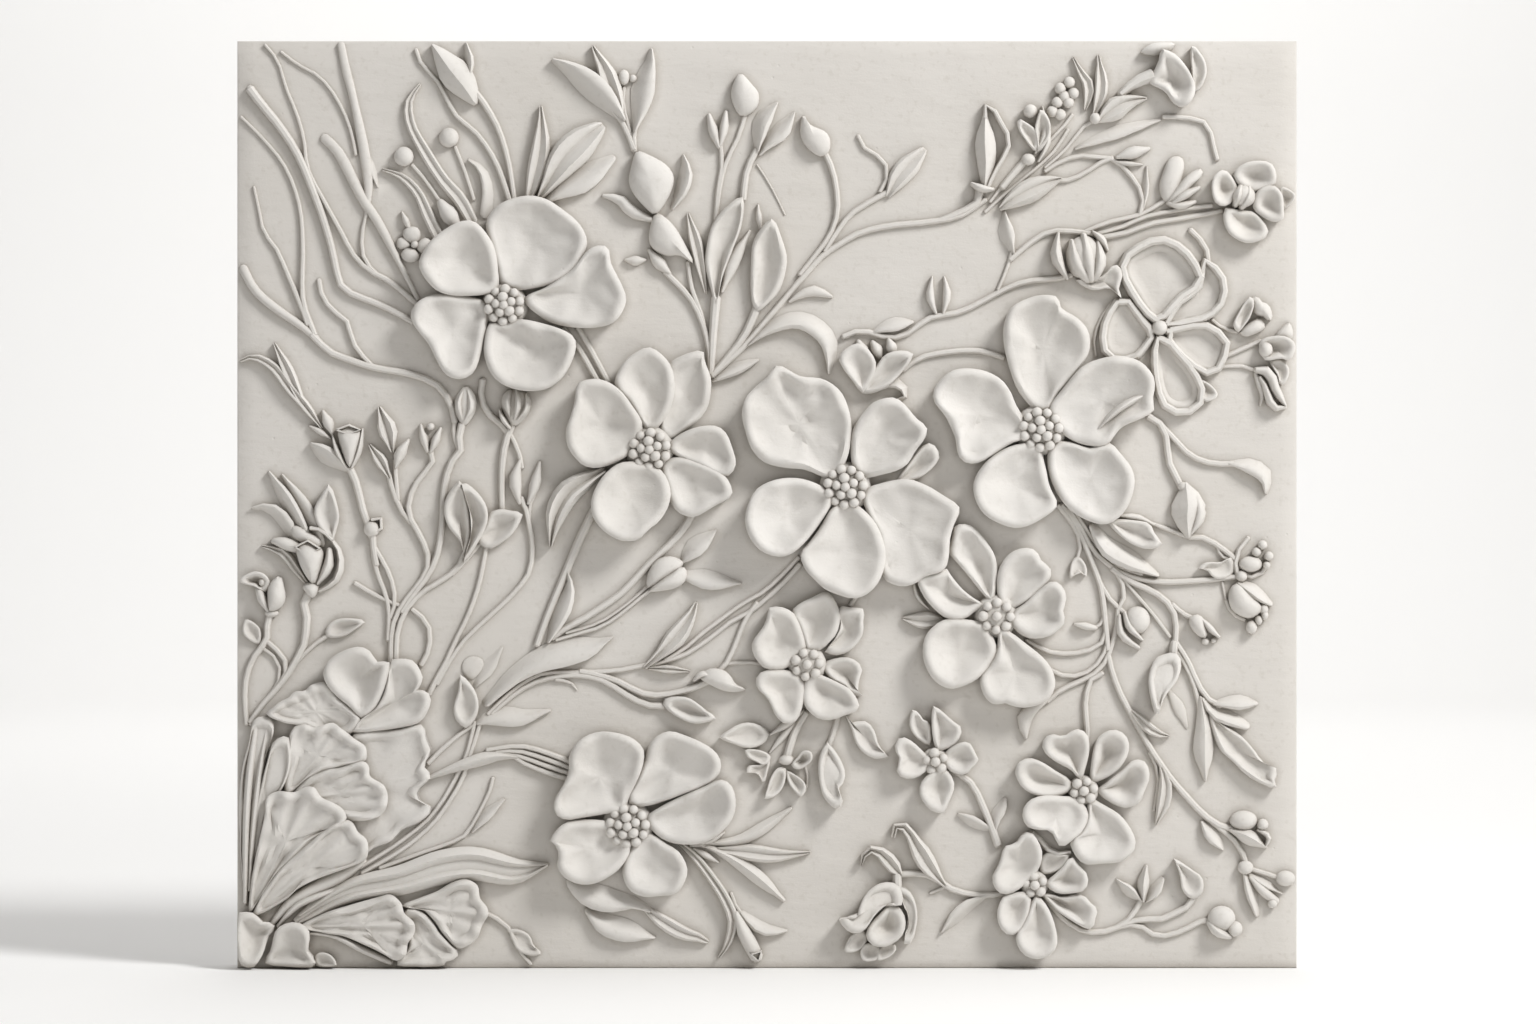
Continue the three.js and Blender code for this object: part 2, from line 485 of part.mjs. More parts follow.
// Bundle that spreads from the fourth flower, with its leaves, bells and buds
petal(8, [1106,521, 1118,519, 1131,520, 1148,523, 1153,532, 1161,545, 1148,549, 1135,546, 1121,537], 3,
  1, 1);
leaf(8, [1092,525,8, 1107,547,20, 1130,560,19, 1158,575,4], 'fold');
stem(6, 6, [1062,505, 1075,522, 1085,545, 1094,568, 1101,588, 1104,610, 1106,630, 1108,650]);
stem(6, 6, [1068,507, 1082,530, 1093,550, 1107,563, 1120,572, 1140,579, 1165,582, 1190,581, 1215,579,
  1240,576]);
stem(7, 6, [1112,568, 1130,581, 1152,591, 1166,601, 1174,613, 1176,630, 1174,652]);
stem(5, 6, [1116,572, 1124,588, 1123,600, 1117,612, 1117,622, 1114,637, 1110,650, 1104,663, 1092,675,
  1075,683, 1060,690, 1047,701]);
ball(1137, 620, 13, 14, 7);
leaf(5, [1047,700,4, 1032,708,13, 1024,720,15, 1026,738,3], 'round');
stem(6, 7, [1108,655, 1112,672, 1120,693, 1130,712, 1139,728, 1150,748, 1160,763, 1172,780, 1187,797,
  1202,813, 1217,824, 1232,829]);
petal(12, [1163,654, 1156,657, 1150,666, 1147,680, 1149,697, 1155,716, 1160,703, 1166,692, 1175,681,
  1180,668, 1179,656, 1172,652], 0.5, 1, 1.5);
leaf(6, [1200,697,4, 1203,725,15, 1203,752,20, 1205,780,3], 'round');
leaf(6, [1203,698,5, 1213,712,11, 1232,719,15, 1247,726,8], 'fold');
petal(7, [1208,713, 1222,723, 1240,735, 1252,748, 1263,762, 1277,769, 1274,779, 1275,788, 1262,784,
  1245,774, 1232,761, 1220,750, 1213,736], 2.5);
leaf(10, [1188,537,5, 1187,520,29, 1188,503,32, 1185,484,6], 'round');
petal(5, [1234,572, 1222,579, 1212,577, 1206,570, 1197,568, 1206,562, 1220,562, 1231,557], 1.5);
pod(10, [1236,583, 1230,588, 1228,598, 1231,609, 1240,616, 1250,618, 1259,613, 1261,606, 1252,597,
  1244,589]);

// Seventh flower and its stem
petal(7, [930,745, 918,739, 911,730, 909,721, 912,709, 918,712, 923,719, 929,722, 931,732], 2);
petal(10, [937,752, 932,735, 931,717, 933,705, 942,711, 952,720, 961,727, 959,737, 953,745, 944,749],
  3);
petal(11, [930,759, 920,748, 911,740, 902,736, 896,740, 894,748, 899,758, 896,768, 899,775, 908,778,
  918,776, 928,768], 3);
petal(10, [942,757, 950,747, 962,741, 970,743, 974,751, 978,760, 972,766, 966,773, 956,773, 947,768],
  3);
petal(11, [936,767, 926,775, 920,783, 919,793, 924,803, 932,810, 944,812, 947,804, 951,795, 954,785,
  951,775, 944,767], 4);
boss(935, 761, 11, 9);

// Eighth flower
petal(13, [1080,780, 1070,769, 1055,761, 1044,752, 1041,744, 1044,736, 1052,733, 1062,735, 1070,730,
  1077,728, 1085,732, 1088,741, 1088,752, 1085,766], 5);
petal(12, [1073,787, 1067,777, 1055,770, 1043,762, 1030,757, 1019,760, 1014,768, 1016,778, 1022,787,
  1032,793, 1045,797, 1060,795], 5);
petal(15, [1077,797, 1086,808, 1087,818, 1081,830, 1073,837, 1062,845, 1056,842, 1053,835, 1048,829,
  1035,828, 1026,825, 1021,815, 1023,805, 1031,797, 1045,794, 1062,795], 3);
petal(13, [1088,797, 1103,804, 1118,813, 1128,825, 1134,838, 1133,848, 1127,855, 1117,861, 1100,862,
  1085,863, 1077,858, 1071,848, 1069,838, 1080,830, 1086,815], 4);
petal(11, [1095,790, 1103,784, 1112,776, 1122,768, 1130,760, 1141,759, 1147,766, 1148,778, 1143,791,
  1138,802, 1125,807, 1110,802], 6);
petal(11, [1090,782, 1090,765, 1092,750, 1096,738, 1104,731, 1115,729, 1124,734, 1128,743, 1127,753,
  1122,763, 1116,770, 1104,778], 6);
boss(1083, 790, 12, 10);

// Ninth flower
petal(14, [1029,880, 1015,890, 1004,893, 995,888, 991,876, 996,866, 1000,855, 1003,845, 1015,841,
  1022,832, 1029,830, 1036,838, 1041,850, 1040,862, 1035,873], 4);
petal(7, [1041,873, 1040,858, 1048,851, 1060,854, 1069,853, 1066,863, 1056,871], 2);
petal(11, [1044,883, 1052,875, 1062,865, 1070,855, 1078,864, 1085,871, 1087,880, 1083,889, 1071,892,
  1056,892], 4);
petal(9, [1040,893, 1052,893, 1062,896, 1075,893, 1084,895, 1091,903, 1097,908, 1094,918, 1092,927,
  1084,927, 1070,919, 1054,908], 5);
petal(14, [1035,894, 1043,900, 1050,912, 1055,928, 1056,942, 1050,952, 1038,957, 1025,954, 1017,945,
  1015,933, 1022,923, 1028,910, 1031,900], 4);
petal(12, [1029,892, 1015,891, 1005,893, 999,901, 996,912, 998,923, 1005,932, 1016,932, 1024,922,
  1030,907], 4);
boss(1034, 884, 11, 9);
stem(6, 6, [1042,893, 1055,910, 1068,922, 1082,930, 1098,932, 1112,929, 1124,923, 1133,914, 1138,905,
  1142,897]);
petal(8, [1194,899, 1187,896, 1181,888, 1179,875, 1176,866, 1173,857, 1183,863, 1193,870, 1201,876,
  1203,886, 1201,894], 2);
ball(1221, 918, 14, 13, 9);

// Stems that leave the ninth flower to the left, with the rose bud
leaf(7, [945,885,4, 929,866,15, 917,846,20, 907,829,12, 897,824,9, 893,836,5], 'groove');
leaf(7, [901,875,4, 891,863,15, 882,853,14, 870,849,9, 863,856,6, 861,865,2], 'groove');
petal(13, [899,885, 887,881, 875,884, 865,893, 859,905, 855,917, 839,917, 844,926, 851,931, 860,931,
  867,925, 875,913, 884,905, 893,901, 903,903], 1, 2, 0.8);
petal(9, [899,885, 908,889, 914,898, 917,912, 916,925, 911,942, 902,941, 908,928, 907,912, 902,902], 1);
petal(11, [890,902, 899,906, 905,917, 904,930, 897,939, 885,945, 873,944, 866,936, 867,927, 874,918,
  882,910], 7);
leaf(5, [987,896,4, 968,905,12, 956,916,13, 942,932,3], 'fold');

// Right side: the last branch of the bundle with its buds
leaf(5, [1160,764,3, 1165,783,13, 1163,803,14, 1156,823,3], 'groove');
ball(1243, 820, 14, 10, 8);

// Tenth flower, its leaves and the stems to its right
petal(18, [624,812, 611,812, 585,816, 568,818, 557,812, 555,800, 560,790, 566,780, 570,768, 570,755,
  577,742, 588,734, 602,730, 616,731, 630,735, 641,743, 645,752, 643,766, 637,781, 630,795], 5, 2, 1.2);
petal(16, [634,806, 628,798, 634,783, 641,769, 646,755, 650,743, 660,733, 672,730, 685,734, 700,740,
  713,748, 720,757, 721,768, 715,778, 703,785, 688,791, 670,798, 652,804], 5);
petal(16, [645,818, 660,806, 675,798, 692,790, 707,783, 720,778, 730,782, 735,792, 736,804, 733,816,
  726,826, 715,836, 700,842, 685,843, 670,841, 657,834], 5);
petal(14, [638,836, 650,832, 658,836, 668,843, 678,849, 685,859, 688,870, 684,882, 676,892, 660,894,
  645,895, 632,890, 625,880, 623,868, 625,856, 630,846], 4);
petal(17, [620,828, 608,820, 590,818, 572,819, 563,823, 555,831, 551,838, 557,844, 560,853, 558,862,
  561,870, 568,877, 580,882, 593,882, 606,877, 619,868, 628,856, 631,843], 4);
boss(628, 825, 20, 13);
leaf(8, [572,880,14, 588,893,24, 612,900,24, 634,902,13, 651,910,5], 'fold');
leaf(6, [588,909,8, 604,923,22, 626,930,21, 655,937,2], 'fold');
leaf(5, [645,908,5, 664,922,13, 684,933,15, 703,938,12, 707,941,5], 'groove');
leaf(6, [676,840,5, 694,855,8, 710,875,9, 725,898,10, 733,920,11, 728,942,9, 719,957,3], 'groove');
leaf(6, [706,846,4, 730,857,11, 757,876,14, 784,900,4], 'round');
leaf(5, [718,849,5, 748,852,17, 778,855,13, 810,852,2], 'groove');
leaf(5, [706,843,4, 738,840,10, 762,828,12, 791,808,4], 'round');
leaf(9, [736,912,5, 743,930,13, 750,943,15, 757,957,13], 'round');

// Clump of the lower left corner: two-lobed leaf and fluted fans that spread from the corner
petal(13, [362,718, 350,706, 336,694, 327,682, 325,670, 332,658, 345,650, 360,646, 371,650, 379,661,
  391,661, 388,680, 382,697, 374,710], 5);
petal(11, [352,732, 362,718, 375,709, 384,695, 388,678, 391,661, 402,658, 414,660, 421,669, 424,679,
  419,690, 427,690, 432,698, 429,710, 420,722, 402,727, 380,730], 4);
petal(9, [335,735, 300,725, 285,722, 268,714, 275,706, 283,700, 290,697, 296,691, 306,690, 313,684,
  328,682, 338,695, 352,708, 362,720, 352,733], 1.5, 4, 1);
petal(6, [350,860, 345,800, 350,740, 365,731, 380,729, 400,728, 418,723, 425,727, 427,738, 432,750,
  425,765, 432,776, 419,790, 421,800, 433,808, 421,821, 403,830, 392,841, 375,848], 1, 5, 1);
petal(7, [247,906, 241,860, 240,800, 243,765, 250,740, 254,720, 262,716, 273,718, 275,730, 270,745,
  262,765, 256,790, 251,830, 250,870], 1, 6, 0.8);
petal(9, [250,880, 252,845, 256,815, 262,785, 268,762, 274,742, 281,737, 290,736, 293,755, 290,773,
  282,790, 272,797, 266,815, 258,848], 1);
petal(10, [286,795, 288,765, 289,742, 294,728, 303,723, 318,726, 333,722, 343,728, 356,738, 366,745,
  368,753, 365,761, 345,765, 325,770, 308,779], 2, 5, 1.2);
petal(11, [292,800, 302,783, 318,772, 340,766, 362,760, 370,765, 372,776, 385,784, 389,795, 387,808,
  377,817, 360,820, 343,820, 320,812], 1.5, 5, 1.2);
petal(12, [250,912, 252,880, 259,845, 266,815, 268,797, 280,790, 296,791, 306,786, 316,786, 323,796,
  336,802, 345,809, 347,820, 325,832, 300,851, 278,873, 262,896], 1, 8, 1.5);
petal(13, [255,915, 262,895, 278,872, 300,850, 325,830, 344,819, 354,821, 360,831, 368,838, 370,848,
  366,859, 345,868, 320,877, 300,887, 285,900], 1.5, 6, 1);
leaf(7, [272,924,5, 290,903,12, 318,886,14, 345,873,15, 365,860,6], 'round');
leaf(8, [278,926,4, 300,903,8, 337,889,7], 'round');
leaf(9, [296,921,8, 320,902,16, 350,890,23, 400,880,28, 440,868,32, 475,864,32, 515,871,26, 548,864,3],
  'fold');
petal(12, [300,926, 325,912, 350,904, 378,896, 392,893, 402,901, 406,912, 416,922, 415,933, 409,942,
  407,954, 397,959, 385,953, 365,943, 345,935, 325,932], 1, 8, 1.5);
leaf(8, [308,932,4, 335,935,6, 360,947,8, 392,962,7], 'round');
petal(9, [404,925, 405,909, 418,908, 430,917, 440,931, 452,944, 460,951, 455,958, 444,961, 442,965,
  405,965, 396,962, 406,953, 410,940], 2, 3, 1);
petal(10, [402,905, 420,897, 438,890, 453,881, 467,878, 478,884, 481,897, 488,906, 489,914, 483,924,
  478,937, 467,945, 457,947, 446,936, 436,921, 424,910], 2, 5, 1.2);
petal(13, [270,935, 277,927, 272,921, 264,920, 257,912, 248,910, 240,913, 240,935, 241,958, 246,965,
  256,965, 265,952], 3, 2, 1);
petal(14, [266,962, 272,948, 278,928, 290,921, 301,921, 309,926, 312,934, 310,949, 315,956, 316,965,
  290,965], 3, 3, 1);
stem(5, 5, [475,722, 466,757, 456,777, 443,800, 427,820, 405,838, 383,853, 360,867]);
stem(5, 5, [480,724, 471,752, 463,777, 450,800, 434,822, 412,842, 390,857, 362,873]);
leaf(7, [430,777,4, 465,764,10, 495,756,13, 518,757,3], 'round');
for (const step of [0, 1, 2, 3]) {
  stem(5, 6, [487 + step * 9,750 + step * 2, 520,746 + step * 5, 548,753 + step * 6.5,
    573,763 + step * 5.5], 1);
}
petal(3.5, [508,928, 520,929, 530,935, 534,945, 543,953, 530,955, 518,950, 512,940], 1);

// Slab: a back rectangle, the same rectangle near the front, and a slightly smaller one at the front
function slab() {
  const rectangle = (inset, depth) => {
    const [x, z] = [PANEL_WIDTH / 2 - inset, PANEL_HEIGHT / 2 - inset];
    const corners = [[-x, -z], [x, -z], [x, z], [-x, z]];
    return corners.map(([across, up]) => new THREE.Vector3(across, -depth, up));
  };
  const [back, shoulder] = [rectangle(0, 0), rectangle(0, PANEL_THICKNESS - ARRIS)];
  return loft([back, shoulder, rectangle(ARRIS, PANEL_THICKNESS)]);
}

// Everything is cast as one: the slab and all the forms on it become a single solid
const cast = wasm.Manifold.union([slab(), ...forms]);

function toGeometry(solid) {
  const { vertProperties, triVerts } = solid.getMesh();
  const geometry = new THREE.BufferGeometry();
  geometry.setAttribute('position', new THREE.BufferAttribute(vertProperties, 3));
  geometry.setIndex(new THREE.BufferAttribute(triVerts, 1));
  geometry.computeVertexNormals();
  return geometry;
}

const reliefPanel = new THREE.Mesh(toGeometry(cast), PLASTER);
reliefPanel.name = 'relief_panel';

const model = new THREE.Group();
model.add(reliefPanel);

export default model;
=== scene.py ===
# %% [markdown]
# # A botanical relief panel in plaster
# The object is one slab of pale plaster, cast in a mould, with flowers, leaves, buds and stems in relief.
# It has no separate parts, so this lesson makes one mesh. Every flower and stem is modelled as a small closed
# form of its own, because a small form is easy to shape, and a Boolean union then casts them all as one.

import json
import math

import bmesh
import bpy
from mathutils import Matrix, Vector, noise

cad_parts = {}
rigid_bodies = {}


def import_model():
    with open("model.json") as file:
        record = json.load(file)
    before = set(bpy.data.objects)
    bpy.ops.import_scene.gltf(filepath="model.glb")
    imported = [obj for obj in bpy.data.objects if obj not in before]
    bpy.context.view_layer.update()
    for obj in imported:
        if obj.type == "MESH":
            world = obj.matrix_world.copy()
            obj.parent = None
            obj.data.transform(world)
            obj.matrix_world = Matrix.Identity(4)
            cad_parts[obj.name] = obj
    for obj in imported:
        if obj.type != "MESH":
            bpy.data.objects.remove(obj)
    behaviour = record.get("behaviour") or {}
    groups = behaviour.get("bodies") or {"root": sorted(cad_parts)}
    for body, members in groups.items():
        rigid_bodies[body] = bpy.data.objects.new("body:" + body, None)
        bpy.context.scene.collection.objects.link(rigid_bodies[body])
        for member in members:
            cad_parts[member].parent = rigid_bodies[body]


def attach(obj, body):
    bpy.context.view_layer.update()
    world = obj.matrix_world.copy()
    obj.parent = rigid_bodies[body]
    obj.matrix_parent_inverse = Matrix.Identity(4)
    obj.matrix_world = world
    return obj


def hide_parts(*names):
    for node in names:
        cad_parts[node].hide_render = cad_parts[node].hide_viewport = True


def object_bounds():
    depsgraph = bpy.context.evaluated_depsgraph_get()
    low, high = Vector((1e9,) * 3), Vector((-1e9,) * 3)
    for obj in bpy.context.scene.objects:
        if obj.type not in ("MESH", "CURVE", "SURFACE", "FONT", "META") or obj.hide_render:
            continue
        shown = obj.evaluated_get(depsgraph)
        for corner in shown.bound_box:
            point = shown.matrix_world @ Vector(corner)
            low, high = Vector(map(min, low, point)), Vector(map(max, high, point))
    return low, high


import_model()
solid_low, solid_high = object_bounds()
print("solid from", tuple(solid_low), "to", tuple(solid_high))

# %% [markdown]
# ## Sizes
# Metres are awkward for plaster work, so heights and widths are written in millimetres and turned into metres
# in one place, where a vertex is put down. The slab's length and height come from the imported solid, so the
# dressed panel always has the size of the part that it stands for. Every form has its root a little way
# inside the slab, because a union needs the forms to overlap.

# %% Sizes
MM = 0.001
SLAB_WIDTH = (solid_high.x - solid_low.x) / MM
SLAB_HEIGHT = (solid_high.z - solid_low.z) / MM
SLAB_THICKNESS = 20
ROOT_DEPTH = 3
print("slab", SLAB_WIDTH, "x", SLAB_HEIGHT, "mm")

# %% [markdown]
# ## The drawing
# A sculptor first draws the planting on the ground and then builds each form over its line. The drawing here
# has its own units, x to the right and y down, as on a sheet of squared paper laid over the panel. One helper
# turns a place on the drawing into millimetres on the panel's face.

# %% Places on the drawing
DRAWING_LEFT, DRAWING_RIGHT = 237, 1297
DRAWING_TOP, DRAWING_BOTTOM = 41, 968
UNIT_X = SLAB_WIDTH / (DRAWING_RIGHT - DRAWING_LEFT)
UNIT_Z = SLAB_HEIGHT / (DRAWING_BOTTOM - DRAWING_TOP)
UNIT = min(UNIT_X, UNIT_Z)


def place(x, y):
    across = (x - (DRAWING_LEFT + DRAWING_RIGHT) / 2) * UNIT_X
    up = ((DRAWING_TOP + DRAWING_BOTTOM) / 2 - y) * UNIT_Z
    return Vector((across, up))


def places(numbers):
    return [place(x, y) for x, y in zip(numbers[::2], numbers[1::2])]


def lifted(spot, height):
    """A spot on the face and a height over the ground, both in millimetres, as a point in metres."""
    return Vector((spot.x, -SLAB_THICKNESS - height, spot.y)) * MM


print("one drawing unit is", round(UNIT, 3), "mm")

# %% [markdown]
# ## Smooth lines
# A few points fix the shape of a petal, and a curve through them gives its soft outline. The Catmull-Rom
# spline is used because it passes through each given point, so the drawing stays readable.

# %% Smooth lines


def spline(a, b, c, d, t):
    return 0.5 * (
        b * 2
        + (c - a) * t
        + (a * 2 - b * 5 + c * 4 - d) * t**2
        + (b * 3 - a - c * 3 + d) * t**3
    )


def smooth_line(points, closed, fineness=8):
    """Many points along the curve through the given ones."""
    count = len(points)
    line = []
    for i in range(count if closed else count - 1):
        if closed:
            near = [points[(i + k) % count] for k in (-1, 0, 1, 2)]
        else:
            near = [points[min(max(i + k, 0), count - 1)] for k in (-1, 0, 1, 2)]
        line += [spline(*near, k / fineness) for k in range(fineness)]
    return line if closed else line + [points[-1]]


square = places([0, 0, 9, 0, 9, 9, 0, 9])
print("a square's corners as a smooth line:", len(smooth_line(square, True)), "points")

# %% [markdown]
# ## Even steps
# The spline's points crowd together where the given ones do. Faces of even size shade better, so the line is
# walked once from end to end and a point is put down after each equal step.

# %% Even steps


def length_of(line):
    return sum((b - a).length for a, b in zip(line, line[1:]))


def evenly(line, count, closed):
    """The same line as a number of points that lie evenly along it."""
    if closed:
        line = line + [line[0]]
    travelled = [0.0]
    for a, b in zip(line, line[1:]):
        travelled.append(travelled[-1] + (b - a).length)
    spots = []
    piece = 0
    for k in range(count):
        goal = travelled[-1] * k / (count if closed else count - 1)
        while piece < len(line) - 2 and travelled[piece + 1] < goal:
            piece += 1
        span = travelled[piece + 1] - travelled[piece]
        share = (goal - travelled[piece]) / max(span, 1e-9)
        spots.append(line[piece].lerp(line[piece + 1], share))
    return spots


print("the square's outline is", round(length_of(square), 1), "mm long on three sides")

# %% [markdown]
# ## Extruding ring by ring
# Petals, leaves and stems are all tubes of a kind: a face that is extruded and reshaped, again and again. The
# helper makes the first face, extrudes it once for each further ring and moves its corners there. The last
# face is poked, which puts a point in its middle, and the open start is filled. The result is closed, so the
# union can tell its inside from its outside.

# %% Extruding ring by ring
forms = bpy.data.collections.new("forms")


def keep_form(shape, name):
    bmesh.ops.recalc_face_normals(shape, faces=shape.faces)
    if shape.calc_volume(signed=True) < 0:
        bmesh.ops.reverse_faces(shape, faces=shape.faces)
    mesh = bpy.data.meshes.new(name)
    shape.to_mesh(mesh)
    shape.free()
    forms.objects.link(bpy.data.objects.new(name, mesh))


def extruded(rings, middle, name):
    """A closed form through the rings, ending in one point."""
    shape = bmesh.new()
    cap = shape.faces.new([shape.verts.new(point) for point in rings[0]])
    for ring in rings[1:]:
        cap = bmesh.ops.extrude_discrete_faces(shape, faces=[cap])["faces"][0]
        for corner, point in zip(cap.verts, ring):
            corner.co = point
    poked = bmesh.ops.poke(shape, faces=[cap])
    poked["verts"][0].co = middle
    open_edges = [edge for edge in shape.edges if edge.is_boundary]
    bmesh.ops.holes_fill(shape, edges=open_edges)
    keep_form(shape, name)


print("forms go into the collection", forms.name)

# %% [markdown]
# ## The rings of a petal
# A modelled petal is a thin pad of plaster: its wall is slightly undercut, so that it throws a crisp shadow,
# its rim is rolled over with the thumb, and inside the rim it is hollowed towards the heart. Each pair below
# is one ring: how far it lies inside the outline, and how far it lies below the rim's crest. A wall ring has
# a share of the petal's height instead, or none at all where it is the root inside the slab.

# %% The rings of a petal
WALL_RINGS = [(1.1, None), (0.25, 0.74)]
RIM_RINGS = [(0.0, 2.3), (0.8, 0.95), (2.0, 0.2), (3.3, 0.0), (4.8, 0.55), (6.6, 2.0)]
RIM_END, RIM_FALL = RIM_RINGS[-1]
HOLLOW_SHARES = [0.25, 0.5, 0.75]
FULL_RIM_REACH = 16.0
LARGEST_WALL_SHARE = 0.3
print("a petal has", len(WALL_RINGS) + len(RIM_RINGS) + len(HOLLOW_SHARES), "rings")


def inside(spot, heart, inset):
    """A spot moved in towards the heart, and how far of the full way. A narrow petal has a narrow rim."""
    inward = heart - spot
    small = min(1.0, inward.length / FULL_RIM_REACH)
    return spot + inward * (inset * small / inward.length), small


# %% [markdown]
# ## The height of a petal
# A petal stands low where it leaves the flower and high at its tip. The first point of its outline is its
# base, and the far side is found by doubling the way from the base to the middle. Flutes are a wave in the
# angle around the base, and they grow with the distance, so the folds open like a fan. A little slow noise
# on top keeps the hollow from looking machined.

# %% The height of a petal
BASE_SHARE = 0.55
UNEVEN = 1.9
UNEVEN_SHARE = 0.13
UNEVEN_REACH = 10.0


def hand(spot, size, reach):
    """The unevenness that a hand leaves: slow hills and dips, always the same at the same spot."""
    return size * noise.noise(Vector((spot.x / reach, spot.y / reach, 0.0)))


def petal_height(spot, lift, base, reach, flutes, wave):
    along = spot - base
    share = min(1.0, along.length / reach.length)
    turn = math.atan2(reach.cross(along), reach.dot(along))
    ripple = wave * share * math.cos(turn * flutes * 2)
    uneven = hand(spot, min(UNEVEN, lift * UNEVEN_SHARE), UNEVEN_REACH)
    return lift * (BASE_SHARE + (1 - BASE_SHARE) * share) + ripple + uneven


print("a petal's base stands at", BASE_SHARE, "of its height")

# %% [markdown]
# ## Petals
# Now the rings are put on their places: the wall first, then the rim, then the hollow, which falls away as a
# quarter of a sine wave and so runs level into the heart. Petals with many flutes get twice as many corners,
# because each fold needs a few of them to stay round.

# %% Petals
DISH_DEPTH = 1.35
PETAL_STEP = 3.8
FINE_FLUTES = 12
FEWEST_CORNERS = 18
MOST_CORNERS = 110
LOWEST_WALL = 0.4
LOWEST_TOP = 0.6


def petal(lift, outline, dish, flutes=0, wave=0):
    line = smooth_line(places(outline), True)
    step = PETAL_STEP * (0.5 if flutes > FINE_FLUTES else 1)
    count = min(MOST_CORNERS, max(FEWEST_CORNERS, round(length_of(line) / step)))
    edge = evenly(line, count, True)
    base = edge[0]
    heart = sum(edge, Vector((0, 0))) / count
    reach = (heart - base) * 2

    def height(spot):
        return petal_height(spot, lift, base, reach, flutes, wave)

    rings = []
    for inset, level in WALL_RINGS:
        ring = []
        for spot in edge:
            inward = heart - spot
            inner = spot + inward * min(LARGEST_WALL_SHARE, inset / inward.length)
            wall = -ROOT_DEPTH if level is None else max(LOWEST_WALL, height(spot) * level)
            ring.append(lifted(inner, wall))
        rings.append(ring)
    for inset, drop in RIM_RINGS:
        ring = []
        for spot in edge:
            inner, small = inside(spot, heart, inset)
            ring.append(lifted(inner, max(LOWEST_TOP, height(inner) - drop * small)))
        rings.append(ring)
    deepest = max(RIM_FALL * 0.5, min(dish * DISH_DEPTH, height(heart) - 1.0))
    for share in HOLLOW_SHARES:
        ring = []
        for spot in edge:
            rim_end, small = inside(spot, heart, RIM_END)
            inner = rim_end.lerp(heart, share)
            start = RIM_FALL * small
            fall = start + (deepest - start) * math.sin(share * math.pi / 2)
            ring.append(lifted(inner, max(LOWEST_TOP, height(inner) - fall)))
        rings.append(ring)
    extruded(rings, lifted(heart, max(LOWEST_TOP, height(heart) - deepest)), "petal")


print("a petal has at most", MOST_CORNERS, "corners in a ring")

# %% [markdown]
# ## Pods and buds
# A bud is a closed swelling. It has the petal's outline but no hollow: the rings climb steeply at first and
# then round off, like the quarter of a circle. The levels are angles on that circle, in degrees.

# %% Pods and buds
POD_LEVELS = [0, 18, 36, 54, 72]
POD_STEP = 2.8
POD_SHOULDER = 0.35
FEWEST_POD_CORNERS = 14
MOST_POD_CORNERS = 36


def pod(lift, outline):
    line = smooth_line(places(outline), True)
    count = min(MOST_POD_CORNERS, max(FEWEST_POD_CORNERS, round(length_of(line) / POD_STEP)))
    edge = evenly(line, count, True)
    heart = sum(edge, Vector((0, 0))) / len(edge)
    rings = [[lifted(spot, -ROOT_DEPTH) for spot in edge]]
    for degrees in POD_LEVELS:
        share = math.cos(math.radians(degrees))
        level = lift * (POD_SHOULDER + (1 - POD_SHOULDER) * math.sin(math.radians(degrees)))
        rings.append([lifted(heart.lerp(spot, share), level) for spot in edge])
    extruded(rings, lifted(heart, lift), "pod")


print("a pod has", len(POD_LEVELS) + 1, "rings")

# %% [markdown]
# ## Cross-sections of leaves and stems
# A leaf's cross-section gives its kind: grooved along the midrib, ridged, rounded, or folded with one high
# side. Each is a function of the place across the leaf, from -1 at one edge to 1 at the other, and gives a
# share of the leaf's height.

# %% Cross-sections of leaves and stems
LEAF_GROOVE = 0.45
GROOVE_REACH = 0.6


def groove(s):
    rim = 1 - max(0.0, abs(s) - GROOVE_REACH) ** 2 * 3.2
    return rim - LEAF_GROOVE * max(0.0, 1 - abs(s) / GROOVE_REACH) ** 1.4


def ridge(s):
    return 1 - 0.62 * abs(s) ** 1.25


def rounded(s):
    return 0.3 + 0.7 * math.sqrt(max(0.0, 1 - s * s))


def fold(s):
    return 0.5 + 0.45 * math.cos((s + 0.55) * 1.75) - 0.12 * max(0.0, -s - 0.6)


SECTIONS = {"groove": groove, "ridge": ridge, "round": rounded, "fold": fold}
print("cross-sections:", ", ".join(SECTIONS))

# %% [markdown]
# ## Ribs
# Leaves and stems are ribs whose width swells and shrinks along a line. The cross-section is set up at each
# station of the line, with two feet under the ground. Both ends are drawn in over one short extra ring, so
# that no blunt cut shows.

# %% Ribs
THINNEST = 0.9
END_REACH = 0.3
END_SHRINK = 0.55


def stations(line, widths, step, fewest):
    """Places along a smooth line, each with the line's direction and its width."""
    curve = smooth_line(line, False)
    wide = smooth_line([Vector((i, width)) for i, width in enumerate(widths)], False)
    count = max(fewest, round(length_of(curve) / step) + 1)
    spots = evenly(curve, count, False)
    result = []
    for k, spot in enumerate(spots):
        ahead = spots[min(k + 1, count - 1)] - spots[max(k - 1, 0)]
        along = k / (count - 1)
        width = wide[round(along * (len(wide) - 1))].y
        result.append((spot, ahead.normalized(), max(THINNEST, width), along))
    return result


